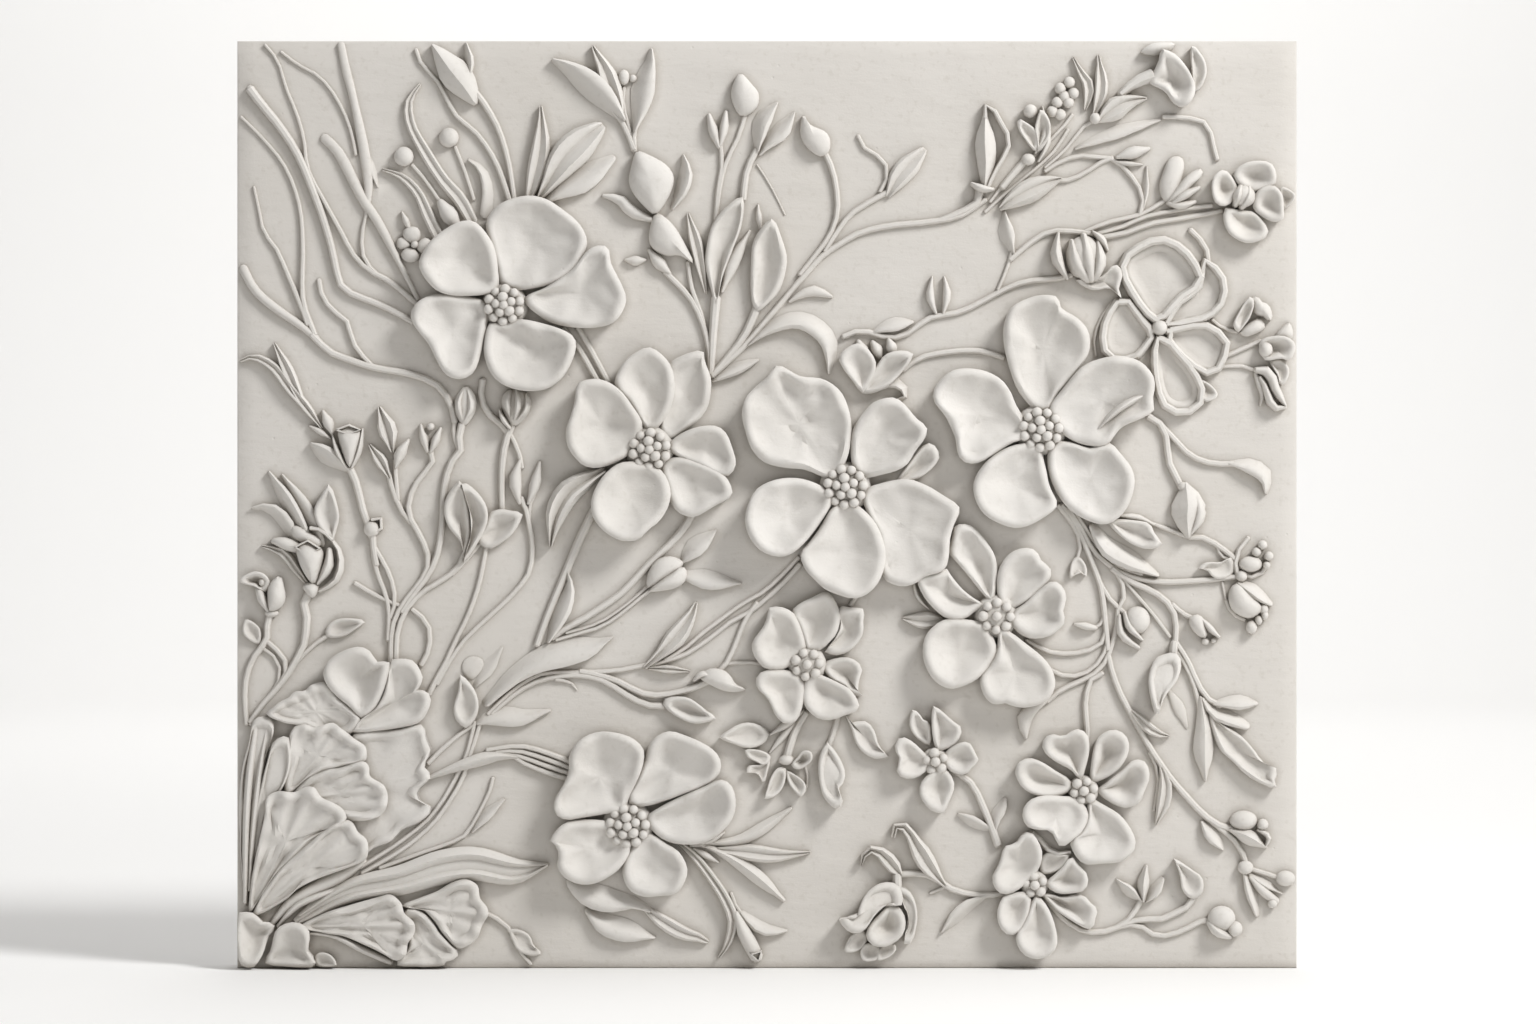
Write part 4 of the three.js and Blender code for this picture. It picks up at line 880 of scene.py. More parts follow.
petal(20, [833,494, 815,483, 795,478, 775,480, 758,488, 749,502, 745,520, 749,536, 758,548, 770,555,
    785,556, 798,549, 811,535, 822,520, 831,505], 5)
boss(845, 487, 20, 14)
stem(5, 5, [799,557, 780,577, 763,592, 742,604, 720,620, 700,635, 685,648, 665,660])
stem(6, 5, [800,564, 784,582, 768,597, 750,612, 733,620, 715,634, 700,645, 683,655, 650,666])
stem(6, 6, [757,603, 745,620, 735,645, 727,662, 718,672])
stem(5, 5, [856,596, 850,606])

# %% [markdown]
# ## Leaves and buds around the third flower
# A hooked leaf bends over the third flower, and a pair of half-open petals looks out from behind it. The hook
# is a leaf with the fold section: one side stands high and the other runs out thin, as a leaf does that is
# seen edge on.

# %% Leaves and buds around the third flower
leaf(7, [748,345,3, 768,329,12, 795,320,17, 817,328,19, 830,346,16, 829,374,3], 'fold')
leaf(4, [789,302,3, 800,295,9, 814,291,11, 832,297,3], 'round')
leaf(5, [712,381,4, 725,374,11, 738,368,12, 758,360,3], 'fold')
petal(11, [863,394, 852,381, 842,368, 839,356, 855,344, 868,350, 876,365, 871,381], 3)
petal(10, [862,394, 868,378, 877,365, 885,355, 900,351, 913,356, 896,379, 880,391], 3)
leaf(7, [868,362,6, 862,350,14, 858,341,5], 'round')
leaf(7, [880,358,6, 876,349,13, 872,342,5], 'round')
leaf(7, [893,356,6, 891,346,12, 888,339,4], 'round')
stem(6, 6, [903,370, 920,358, 950,352, 980,351, 1004,358])
leaf(6, [880,388,5, 892,382,10, 903,388,10, 906,396,5, 897,401,4], 'fold')
stem(6, 6, [843,337, 860,331, 875,334, 888,338, 905,335, 930,318, 960,312, 985,300, 1010,287, 1030,281,
    1055,279, 1072,275])
leaf(5, [873,332,3, 885,327,12, 897,324,14, 913,322,3], 'fold')
leaf(5, [936,314,3, 930,297,9, 932,277,2], 'round')
leaf(5, [943,314,3, 947,295,9, 944,277,2], 'round')

# %% [markdown]
# ## Fourth flower with the buds of the right edge
# The fourth flower stands highest on the right. Beyond it small buds reach to the panel's edge. They are made
# from a few overlapping pods and petals each, since a single egg shape would look unfinished beside the large
# flowers.

# %% Fourth flower with the buds of the right edge
petal(17, [1026,424, 1015,405, 1010,393, 1000,380, 985,372, 965,369, 948,373, 934,388, 933,402, 945,418,
    954,438, 957,455, 965,463, 978,463, 992,455, 1010,444, 1024,438], 5, 7, 1.0)
petal(14, [1036,412, 1018,392, 1009,370, 1003,345, 1003,325, 1010,309, 1025,300, 1040,296, 1056,298,
    1060,309, 1075,318, 1086,330, 1089,345, 1085,359, 1070,378, 1056,395, 1048,410], 4.5, 9, 1.3)
petal(16, [1050,424, 1048,408, 1060,391, 1080,368, 1100,359, 1120,357, 1138,362, 1150,375, 1153,387,
    1151,400, 1152,411, 1140,419, 1120,428, 1105,446, 1088,446, 1070,440], 4, 9, 0.9)
petal(15, [1050,443, 1070,442, 1090,448, 1108,443, 1120,455, 1130,468, 1133,482, 1129,500, 1120,515,
    1106,524, 1090,522, 1070,511, 1055,492, 1047,468], 4)
petal(17, [1036,444, 1044,465, 1048,485, 1056,504, 1046,515, 1026,526, 1008,527, 985,516, 974,499,
    973,481, 985,462, 1008,447], 5)
boss(1040, 430, 20, 13)
stem(7, 7, [1148,416, 1163,427, 1167,445, 1168,460, 1175,475, 1182,489])
stem(6, 6, [1160,424, 1175,440, 1190,455, 1210,463, 1233,464])
leaf(6, [1229,463,4, 1250,466,15, 1265,476,16, 1266,493,4], 'fold')
ball(1183, 487, 6, 5, 6)
petal(8, [1238,333, 1232,325, 1238,312, 1246,299, 1251,298, 1253,305, 1249,318, 1243,327], 2)
pod(8, [1250,299, 1257,297, 1261,302, 1268,305, 1272,316, 1269,322, 1263,317, 1254,314])
pod(6, [1239,333, 1246,325, 1258,318, 1264,322, 1264,329, 1258,333, 1246,337])
stem(4, 4, [1237,332, 1222,328, 1212,320])
pod(5, [1274,337, 1287,323, 1292,328, 1292,338, 1284,342])
petal(9, [1258,345, 1262,339, 1276,336, 1287,338, 1294,345, 1293,353, 1288,361, 1279,359, 1269,361,
    1262,359], 4)
ball(1265, 350, 7, 8, 9)
petal(6, [1269,361, 1279,359, 1287,366, 1288,375, 1283,385, 1278,384, 1277,377, 1272,368], 2)
stem(5, 5, [1220,358, 1240,350, 1260,341])
stem(4, 4, [1217,367, 1240,366, 1254,370])
leaf(8, [1255,370,6, 1265,371,11, 1271,378,11, 1275,390,10, 1281,400,8, 1285,406,3], 'round')
leaf(7, [1259,377,4, 1265,388,7, 1268,399,8, 1275,408,8, 1285,407,4], 'round')
leaf(4, [1255,373,4, 1259,385,6, 1262,395,5, 1260,406,2], 'round')

# %% [markdown]
# ## Branch with long leaves under the second flower
# A branch runs up from the clump, with long folded leaves along it. The leaves lie flat at one side and stand
# up at the other, so they catch the light along one line only.

# %% Branch with long leaves under the second flower
petal(7, [476,540, 485,526, 488,516, 493,511, 503,509, 513,511, 523,513, 520,523, 512,535, 500,544,
    488,549], 3)
leaf(7, [548,642,4, 557,622,13, 565,603,18, 569,586,13, 567,572,3], 'fold')
pod(8, [648,588, 647,577, 652,565, 660,558, 670,556, 680,559, 684,564, 676,572, 662,581])
pod(9, [649,591, 660,580, 675,570, 682,566, 687,571, 686,580, 680,586, 668,590])
leaf(6, [682,562,4, 692,550,19, 703,541,16, 716,530,2], 'fold')
leaf(6, [685,575,10, 700,578,20, 716,581,15, 741,583,2], 'fold')
stem(4, 4, [653,588, 640,598, 628,608, 615,618, 600,627, 580,633, 556,640], 1)
stem(4, 4, [650,584, 636,597, 622,608, 606,619, 588,627, 566,633])
leaf(8, [486,703,9, 499,690,14, 515,675,19, 540,660,25, 566,652,28, 592,646,21, 612,637,2], 'fold')
stem(5, 5, [648,664, 620,670, 590,672, 560,672, 540,674, 520,685, 505,697, 488,714])
leaf(7, [645,667,5, 662,652,11, 680,632,21, 692,613,15, 696,603,4], 'groove')
leaf(5, [649,668,3, 668,669,9, 690,671,2], 'groove')
stem(4, 4, [724,664, 745,662, 764,664])
pod(9, [700,678, 706,670, 714,668, 724,670, 731,676, 736,684, 746,689, 735,692, 722,690, 711,685])
leaf(8, [694,680,4, 702,674,7, 712,676,5], 'round')
stem(7, 6, [708,681, 690,689, 670,694, 650,695, 635,690, 620,682, 600,675, 580,671])
stem(7, 5, [664,706, 648,705, 632,698, 615,687, 600,679, 580,675, 560,676, 540,680, 520,690, 505,702,
    492,714])
petal(8, [662,704, 665,698, 676,696, 688,697, 698,703, 708,711, 717,717, 706,722, 693,723, 680,718,
    669,711], 4)
stem(5, 2, [556,679, 570,682, 577,690])
leaf(5, [477,722,6, 497,716,18, 522,717,20, 538,713,12, 550,710,3], 'fold')
leaf(2, [474,687,4, 487,670,14, 502,647,3], 'fold')
petal(7, [466,729, 458,722, 454,713, 455,702, 459,690, 461,674, 468,680, 475,689, 479,701, 478,713,
    473,723], 2)
pod(1.5, [462,670, 464,660, 472,656, 481,658, 484,665, 478,675, 470,680])

# %% [markdown]
# ## Fifth flower and the stems that hang from it
# A smaller flower with six petals, and below it a few hanging buds. Small petals get a smaller dish and lip,
# which the petal helper works out from the distance between the edge and the heart.

# %% Fifth flower and the stems that hang from it
petal(12, [800,657, 806,650, 805,640, 800,625, 795,614, 788,609, 778,606, 768,608, 767,617, 762,628,
    753,640, 752,650, 757,660, 765,668, 778,670, 790,666], 4)
petal(11, [807,652, 803,638, 798,624, 791,612, 800,603, 812,597, 825,591, 832,596, 838,607, 840,618,
    837,632, 830,641, 820,650], 4)
petal(9, [824,652, 833,640, 840,625, 838,607, 850,607, 864,609, 863,618, 863,632, 858,642, 850,650,
    838,655], 3)
petal(8, [822,664, 835,658, 848,657, 858,662, 862,670, 859,679, 858,690, 862,696, 852,694, 845,686,
    830,678], 5)
petal(12, [812,672, 825,676, 838,682, 849,688, 856,697, 859,706, 855,711, 843,715, 832,719, 819,718,
    809,711, 803,702, 802,691, 805,679], 4)
petal(12, [800,675, 790,670, 775,669, 762,671, 756,678, 757,687, 765,695, 770,702, 774,712, 780,720,
    787,723, 796,720, 801,710, 804,698, 805,685], 4)
boss(807, 664, 15, 10)
leaf(4, [804,710,4, 788,723,9, 769,735,2], 'round')
leaf(3, [796,722,3, 784,735,8, 769,753,2], 'round')
stem(7, 9, [806,712, 797,727, 791,742, 787,758])
petal(7, [770,734, 762,726, 750,722, 738,724, 728,730, 719,737, 735,744, 750,748, 764,743], 2)
petal(6, [771,757, 766,752, 757,749, 745,749, 748,757, 756,761, 765,765], 1.5)
petal(5, [770,760, 760,764, 749,765, 746,772, 757,773, 764,783, 768,770], 1.5)
pod(6, [792,763, 785,765, 778,761, 781,756, 788,754, 794,758])
petal(8, [791,764, 797,757, 803,750, 811,751, 812,759, 805,766, 797,769], 3)
petal(7, [786,768, 778,767, 771,776, 767,788, 764,798, 772,797, 780,791, 785,781], 2)
petal(7, [786,770, 795,774, 804,781, 806,789, 801,796, 794,790, 788,781], 2)
stem(3, 3, [805,766, 808,778, 805,791])
stem(6, 6, [838,714, 835,728, 829,744])
petal(10, [827,741, 820,753, 818,768, 820,785, 824,797, 831,805, 838,808, 842,803, 842,796, 838,789,
    843,782, 845,772, 841,760, 834,749], 0.5, 1, 1.5)
petal(6, [843,712, 852,722, 861,720, 869,723, 875,732, 878,743, 884,752, 890,756, 878,759, 864,753,
    855,741, 851,728], 2)

# %% [markdown]
# ## Sixth flower
# This flower overlaps the fourth flower's stems. Because all forms are joined at the end, the order of the
# calls doesn't matter: only the heights decide what lies on top.

# %% Sixth flower
petal(11, [992,603, 980,591, 968,576, 957,563, 948,552, 951,538, 954,526, 965,524, 975,529, 986,542,
    994,555, 997,570, 996,585], 4)
petal(13, [984,605, 975,611, 965,618, 955,620, 944,617, 934,609, 925,599, 918,586, 917,577, 928,573,
    945,568, 951,576, 961,588, 972,597], 4)
leaf(5, [914,582,3, 918,597,5, 929,609,2], 'round')
leaf(5, [941,620,8, 930,620,18, 917,620,13, 903,618,3], 'groove')
petal(14, [982,622, 988,629, 994,640, 996,650, 991,662, 983,673, 970,682, 952,688, 939,684, 929,674,
    923,660, 922,648, 925,635, 935,624, 948,618, 965,619], 5)
petal(11, [1003,612, 998,600, 996,585, 998,569, 1006,556, 1017,549, 1030,548, 1037,553, 1041,561,
    1049,567, 1050,576, 1046,584, 1040,589, 1028,600, 1013,609], 4)
petal(12, [1008,615, 1025,602, 1038,589, 1050,581, 1058,583, 1064,591, 1065,600, 1062,610, 1064,621,
    1058,629, 1050,635, 1038,638, 1025,637, 1013,628], 4)
petal(15, [998,626, 1012,633, 1025,643, 1040,655, 1050,667, 1054,680, 1052,691, 1045,700, 1030,706,
    1015,706, 1003,702, 995,704, 987,700, 981,690, 979,677, 985,668, 993,657, 997,643], 4, 2, 1)
boss(996, 616, 17, 11)

# %% [markdown]
# ## Bundle that spreads from the fourth flower, with its leaves, bells and buds
# From under the fourth flower a whole bundle of stems spreads downwards. They start almost at one place and
# part like hair, so the first places of their lines are close together. Bells and long pods hang at the ends.

# %% Bundle that spreads from the fourth flower, with its leaves, bells and buds
leaf(4, [1154,525,3, 1138,518,8, 1115,515,2], 'round')
petal(8, [1106,521, 1118,519, 1131,520, 1148,523, 1153,532, 1161,545, 1148,549, 1135,546, 1121,537], 3,
    1, 1)
leaf(8, [1092,525,8, 1107,547,20, 1130,560,19, 1158,575,4], 'fold')
stem(6, 4, [1058,505, 1070,520, 1078,535, 1080,548, 1077,560])
petal(4, [1078,556, 1071,563, 1069,578, 1075,575, 1081,573, 1086,577, 1086,566], 1)
stem(6, 6, [1062,505, 1075,522, 1085,545, 1094,568, 1101,588, 1104,610, 1106,630, 1108,650])
stem(5, 5, [1097,577, 1108,597, 1120,609, 1128,616])
stem(6, 6, [1068,507, 1082,530, 1093,550, 1107,563, 1120,572, 1140,579, 1165,582, 1190,581, 1215,579,
    1240,576])
stem(5, 5, [1075,512, 1090,535, 1103,553, 1120,567, 1142,574])
stem(7, 6, [1112,568, 1130,581, 1152,591, 1166,601, 1174,613, 1176,630, 1174,652])
stem(5, 5, [1172,604, 1182,613, 1192,618])
pod(8, [1189,618, 1196,614, 1203,618, 1205,627, 1207,637, 1200,637, 1193,631, 1189,624])
leaf(8, [1199,617,3, 1210,629,8, 1219,637,3], 'round')
ball(1205, 641, 4, 4, 5)
ball(1213, 640, 3, 3, 4)
stem(4, 4, [1120,575, 1138,597, 1155,617, 1170,637])
stem(6, 6, [1174,640, 1187,660, 1196,680, 1206,697, 1220,706])
stem(5, 6, [1116,572, 1124,588, 1123,600, 1117,612, 1117,622, 1114,637, 1110,650, 1104,663, 1092,675,
    1075,683, 1060,690, 1047,701])
ball(1137, 620, 13, 14, 7)
leaf(7, [1124,612,4, 1129,627,9, 1142,640,3], 'round')
leaf(6, [1119,615,4, 1121,634,9, 1139,648,4], 'round')
leaf(5, [1074,624,3, 1085,626,8, 1096,628,5], 'round')
stem(4, 4, [1094,628, 1102,622, 1105,610])
stem(5, 5, [1106,630, 1102,642, 1092,649, 1075,653, 1055,653, 1040,648, 1026,640])
stem(5, 5, [1108,640, 1103,655, 1093,668, 1080,675, 1065,676, 1050,670])
leaf(5, [1047,700,4, 1032,708,13, 1024,720,15, 1026,738,3], 'round')
stem(6, 6, [1102,673, 1090,680, 1086,695, 1085,710, 1087,725, 1086,742])
stem(6, 7, [1108,655, 1112,672, 1120,693, 1130,712, 1139,728, 1150,748, 1160,763, 1172,780, 1187,797,
    1202,813, 1217,824, 1232,829])
leaf(5, [1131,711,4, 1146,726,11, 1157,733,10, 1169,736,2], 'groove')
petal(12, [1163,654, 1156,657, 1150,666, 1147,680, 1149,697, 1155,716, 1160,703, 1166,692, 1175,681,
    1180,668, 1179,656, 1172,652], 0.5, 1, 1.5)
stem(8, 9, [1174,642, 1173,656])
leaf(1.5, [1168,690,4, 1178,706,13, 1187,728,3], 'round')
stem(5, 5, [1177,652, 1189,673, 1196,692, 1200,712])
leaf(6, [1200,697,4, 1203,725,15, 1203,752,20, 1205,780,3], 'ridge')
leaf(6, [1213,703,4, 1228,702,12, 1242,702,15, 1257,703,3], 'fold')
leaf(6, [1203,698,5, 1213,712,11, 1232,719,15, 1247,726,8], 'fold')
petal(7, [1208,713, 1222,723, 1240,735, 1252,748, 1263,762, 1277,769, 1274,779, 1275,788, 1262,784,
    1245,774, 1232,761, 1220,750, 1213,736], 2.5)
leaf(10, [1188,537,5, 1187,520,29, 1188,503,32, 1185,484,6], 'ridge')
leaf(9, [1190,534,4, 1199,515,14, 1196,497,6], 'round')
stem(6, 6, [1189,537, 1205,538, 1217,545, 1228,553, 1236,560])
stem(5, 4, [1186,536, 1170,530, 1150,523])
stem(4, 4, [1217,545, 1221,556, 1230,559])
petal(5, [1234,572, 1222,579, 1212,577, 1206,570, 1197,568, 1206,562, 1220,562, 1231,557], 1.5)
stem(5, 6, [1248,538, 1241,545, 1236,558, 1235,568, 1238,577], 1)
ball(1250, 564, 12, 8, 7)
for x, y, radius in [[1256,552,5], [1262,545,5], [1268,556,5], [1266,565,4], [1241,576,6]]:
    ball(x, y, radius, radius, 6)
stem(5, 5, [1241,573, 1250,577, 1261,573, 1268,563])
pod(10, [1236,583, 1230,588, 1228,598, 1231,609, 1240,616, 1250,618, 1259,613, 1261,606, 1252,597,
    1244,589])
leaf(8, [1238,582,5, 1251,589,13, 1261,597,12, 1271,604,5], 'fold')
stem(4, 4, [1226,600, 1232,613, 1245,620])
for x, y, radius in [[1263,609,5], [1264,615,4], [1258,620,4], [1251,627,6]]:
    ball(x, y, radius, radius + 1, 6)
stem(3, 3, [1222,582, 1226,600])

# %% [markdown]
# ## Seventh flower and its stem
# The smallest of the open flowers. At this size a petal is little more than a thumb print in a dab of clay,
# and the same helper serves.

# %% Seventh flower and its stem
petal(7, [930,745, 918,739, 911,730, 909,721, 912,709, 918,712, 923,719, 929,722, 931,732], 2)
petal(10, [937,752, 932,735, 931,717, 933,705, 942,711, 952,720, 961,727, 959,737, 953,745, 944,749], 3)
petal(11, [930,759, 920,748, 911,740, 902,736, 896,740, 894,748, 899,758, 896,768, 899,775, 908,778,
    918,776, 928,768], 3)
petal(10, [942,757, 950,747, 962,741, 970,743, 974,751, 978,760, 972,766, 966,773, 956,773, 947,768], 3)
petal(11, [936,767, 926,775, 920,783, 919,793, 924,803, 932,810, 944,812, 947,804, 951,795, 954,785,
    951,775, 944,767], 4)
boss(935, 761, 11, 9)
stem(6, 8, [946,769, 962,775, 973,785, 979,797, 985,811, 992,828, 998,845])
leaf(4, [992,830,3, 980,825,10, 970,820,11, 958,814,3], 'fold')
leaf(4, [994,833,3, 995,818,10, 1001,808,12, 1005,798,4], 'fold')

# %% [markdown]
# ## Eighth flower
# The lower right flowers have deep, cup-shaped petals. A larger dish makes the hollow deeper while the lip
# stays where it is.

# %% Eighth flower
petal(13, [1080,780, 1070,769, 1055,761, 1044,752, 1041,744, 1044,736, 1052,733, 1062,735, 1070,730,
    1077,728, 1085,732, 1088,741, 1088,752, 1085,766], 5)
petal(12, [1073,787, 1067,777, 1055,770, 1043,762, 1030,757, 1019,760, 1014,768, 1016,778, 1022,787,
    1032,793, 1045,797, 1060,795], 5)
petal(15, [1077,797, 1086,808, 1087,818, 1081,830, 1073,837, 1062,845, 1056,842, 1053,835, 1048,829,
    1035,828, 1026,825, 1021,815, 1023,805, 1031,797, 1045,794, 1062,795], 3)
petal(13, [1088,797, 1103,804, 1118,813, 1128,825, 1134,838, 1133,848, 1127,855, 1117,861, 1100,862,
    1085,863, 1077,858, 1071,848, 1069,838, 1080,830, 1086,815], 4)
petal(11, [1095,790, 1103,784, 1112,776, 1122,768, 1130,760, 1141,759, 1147,766, 1148,778, 1143,791,
    1138,802, 1125,807, 1110,802], 6)
petal(11, [1090,782, 1090,765, 1092,750, 1096,738, 1104,731, 1115,729, 1124,734, 1128,743, 1127,753,
    1122,763, 1116,770, 1104,778], 6)
boss(1083, 790, 12, 10)

# %% [markdown]
# ## Ninth flower
# It hangs below the eighth flower and partly under it. Its petals are lower, so the union hides the part that
# lies below.

# %% Ninth flower
petal(14, [1029,880, 1015,890, 1004,893, 995,888, 991,876, 996,866, 1000,855, 1003,845, 1015,841,
    1022,832, 1029,830, 1036,838, 1041,850, 1040,862, 1035,873], 4)
stem(7, 5, [1031,832, 1042,842, 1050,851, 1060,853, 1070,851], 4)
petal(7, [1041,873, 1040,858, 1048,851, 1060,854, 1069,853, 1066,863, 1056,871], 2)
petal(11, [1044,883, 1052,875, 1062,865, 1070,855, 1078,864, 1085,871, 1087,880, 1083,889, 1071,892,
    1056,892], 4)
petal(9, [1040,893, 1052,893, 1062,896, 1075,893, 1084,895, 1091,903, 1097,908, 1094,918, 1092,927,
    1084,927, 1070,919, 1054,908], 5)
petal(14, [1035,894, 1043,900, 1050,912, 1055,928, 1056,942, 1050,952, 1038,957, 1025,954, 1017,945,
    1015,933, 1022,923, 1028,910, 1031,900], 4)
petal(12, [1029,892, 1015,891, 1005,893, 999,901, 996,912, 998,923, 1005,932, 1016,932, 1024,922,
    1030,907], 4)
boss(1034, 884, 11, 9)
stem(6, 6, [1042,893, 1055,910, 1068,922, 1082,930, 1098,932, 1112,929, 1124,923, 1133,914, 1138,905,
    1142,897])
stem(6, 7, [1122,924, 1140,919, 1155,919, 1165,918, 1172,914, 1183,909, 1191,903, 1194,896])
stem(5, 6, [1118,927, 1135,924, 1146,929, 1155,935, 1168,935, 1185,929, 1198,922, 1212,919])
leaf(6, [1141,901,3, 1128,890,12, 1116,879,2], 'fold')
leaf(7, [1143,901,4, 1143,883,13, 1146,865,3], 'ridge')
leaf(6, [1145,901,3, 1154,891,12, 1162,878,5], 'fold')
petal(8, [1194,899, 1187,896, 1181,888, 1179,875, 1176,866, 1173,857, 1183,863, 1193,870, 1201,876,
    1203,886, 1201,894], 2)
ball(1221, 918, 14, 13, 9)
ball(1234, 928, 8, 8, 8)
leaf(9, [1208,921,6, 1217,931,11, 1230,936,6], 'round')

# %% [markdown]
# ## Stems that leave the ninth flower to the left, with the rose bud
# Two hooked leaves and a rose bud. The bud is a round pod inside a ring of petals, each of them bent around
# it, as a real rose bud is wrapped.

# %% Stems that leave the ninth flower to the left, with the rose bud
stem(6, 7, [1006,893, 985,895, 965,893, 950,888, 935,878, 920,873, 899,874])
leaf(7, [945,885,4, 929,866,15, 917,846,20, 907,829,12, 897,824,9, 893,836,5], 'groove')
leaf(7, [901,875,4, 891,863,15, 882,853,14, 870,849,9, 863,856,6, 861,865,2], 'groove')
stem(9, 10, [897,874, 897,888], 1)
petal(13, [899,885, 887,881, 875,884, 865,893, 859,905, 855,917, 839,917, 844,926, 851,931, 860,931,
    867,925, 875,913, 884,905, 893,901, 903,903], 1, 2, 0.8)
petal(9, [899,885, 908,889, 914,898, 917,912, 916,925, 911,942, 902,941, 908,928, 907,912, 902,902], 1)
petal(11, [890,902, 899,906, 905,917, 904,930, 897,939, 885,945, 873,944, 866,936, 867,927, 874,918,
    882,910], 7)
petal(6, [868,934, 861,930, 854,932, 849,937, 844,950, 855,951, 864,945], 1.5)
petal(6, [874,943, 865,943, 860,951, 864,960, 878,958, 880,948], 1.5)
petal(6, [882,944, 893,942, 896,948, 889,956, 877,959], 1.5)
leaf(5, [987,896,4, 968,905,12, 956,916,13, 942,932,3], 'fold')
stem(4, 3, [944,887, 930,893])

# %% [markdown]
# ## Right side: the last branch of the bundle with its buds
# The last branch ends in a round bud and a small bell at the edge. They are low, so that nothing at the rim
# of the panel breaks off easily.

# %% Right side: the last branch of the bundle with its buds
leaf(5, [1160,764,3, 1165,783,13, 1163,803,14, 1156,823,3], 'groove')
stem(4, 3, [1149,752, 1158,772, 1157,790, 1154,810])
leaf(5, [1202,821,4, 1210,833,13, 1216,840,13, 1223,849,3], 'fold')
stem(6, 6, [1211,821, 1225,832, 1237,843, 1244,857, 1247,867])
ball(1243, 820, 14, 10, 8)
leaf(8, [1229,829,4, 1245,835,17, 1266,847,3], 'ridge')
leaf(7, [1257,829,4, 1268,836,6, 1264,847,3], 'round')
ball(1262, 824, 6, 6, 7)
ball(1245, 867, 8, 7, 6)
stem(5, 5, [1248,868, 1265,873, 1280,878])
ball(1285, 878, 10, 8, 6)
leaf(4, [1249,873,4, 1265,883,9, 1282,893,2], 'fold')
leaf(5, [1249,876,4, 1262,890,10, 1276,901,8], 'round')
ball(1272, 903, 5, 5, 5)
leaf(5, [1244,869,5, 1250,890,12, 1257,915,5], 'fold')

# %% [markdown]
# ## Tenth flower, its leaves and the stems to its right
# The flower at the bottom has broad petals with wavy rims and long narrow leaves to its right. The ripple
# here is wide and slow, with few flutes, so the rim rises and falls only once or twice.

# %% Tenth flower, its leaves and the stems to its right
petal(18, [624,812, 611,812, 585,816, 568,818, 557,812, 555,800, 560,790, 566,780, 570,768, 570,755,
    577,742, 588,734, 602,730, 616,731, 630,735, 641,743, 645,752, 643,766, 637,781, 630,795], 5, 6,
    1.3)
petal(16, [634,806, 628,798, 634,783, 641,769, 646,755, 650,743, 660,733, 672,730, 685,734, 700,740,
    713,748, 720,757, 721,768, 715,778, 703,785, 688,791, 670,798, 652,804], 5, 6, 1.0)
petal(16, [645,818, 660,806, 675,798, 692,790, 707,783, 720,778, 730,782, 735,792, 736,804, 733,816,
    726,826, 715,836, 700,842, 685,843, 670,841, 657,834], 5)
petal(14, [638,836, 650,832, 658,836, 668,843, 678,849, 685,859, 688,870, 684,882, 676,892, 660,894,
    645,895, 632,890, 625,880, 623,868, 625,856, 630,846], 4)
petal(17, [620,828, 608,820, 590,818, 572,819, 563,823, 555,831, 551,838, 557,844, 560,853, 558,862,
    561,870, 568,877, 580,882, 593,882, 606,877, 619,868, 628,856, 631,843], 4)
boss(628, 825, 20, 13)
leaf(8, [572,880,14, 588,893,24, 612,900,24, 634,902,13, 651,910,5], 'fold')
leaf(6, [588,909,8, 604,923,22, 626,930,21, 655,937,2], 'fold')
leaf(5, [645,908,5, 664,922,13, 684,933,15, 703,938,12, 707,941,5], 'groove')
leaf(6, [676,840,5, 694,855,8, 710,875,9, 725,898,10, 733,920,11, 728,942,9, 719,957,3], 'groove')
stem(5, 6, [690,845, 705,845, 722,852])
leaf(6, [706,846,4, 730,857,11, 757,876,14, 784,900,4], 'ridge')
leaf(5, [718,849,5, 748,852,17, 778,855,13, 810,852,2], 'groove')
leaf(5, [706,843,4, 738,840,10, 762,828,12, 791,808,4], 'ridge')
leaf(4, [693,848,3, 706,855,8, 719,862,2], 'round')
leaf(5, [700,843,4, 712,839,8, 724,832,3], 'round')
stem(4, 4, [731,893, 738,910, 750,921, 762,929])
leaf(5, [742,912,5, 757,925,12, 770,930,11, 787,930,2], 'fold')
leaf(9, [736,912,5, 743,930,13, 750,943,15, 757,957,13], 'round')
stem(3, 3, [751,953, 756,949, 762,951, 762,957, 755,960, 751,953], 7)

# %% [markdown]
# ## Clump of the lower left corner
# All the growth begins in this corner. Fluted leaves overlap like shells. Each is a petal whose ripple has
# many flutes, and because the ripple grows with the distance from the base, the folds open like a fan.

# %% Clump of the lower left corner
petal(13, [362,718, 350,706, 336,694, 327,682, 325,670, 332,658, 345,650, 360,646, 371,650, 379,661,
    391,661, 388,680, 382,697, 374,710], 5)
petal(11, [352,732, 362,718, 375,709, 384,695, 388,678, 391,661, 402,658, 414,660, 421,669, 424,679,
    419,690, 427,690, 432,698, 429,710, 420,722, 402,727, 380,730], 4)
petal(9, [335,735, 300,725, 285,722, 268,714, 275,706, 283,700, 290,697, 296,691, 306,690, 313,684,
    328,682, 338,695, 352,708, 362,720, 352,733], 1.5, 14, 0.5)
petal(6, [345,800, 350,740, 365,731, 380,729, 400,728, 418,723, 425,727, 427,738, 432,750, 425,765,
    432,776, 419,790, 421,800, 433,808, 421,821, 403,830, 392,841, 375,848, 350,860], 1.5, 6, 1.2)
petal(7, [247,906, 241,860, 240,800, 243,765, 250,740, 254,720, 262,716, 273,718, 275,730, 270,745,
    262,765, 256,790, 251,830, 250,870], 1)
petal(9, [250,880, 252,845, 256,815, 262,785, 268,762, 274,742, 281,737, 290,736, 293,755, 290,773,
    282,790, 272,797, 266,815, 258,848], 1)
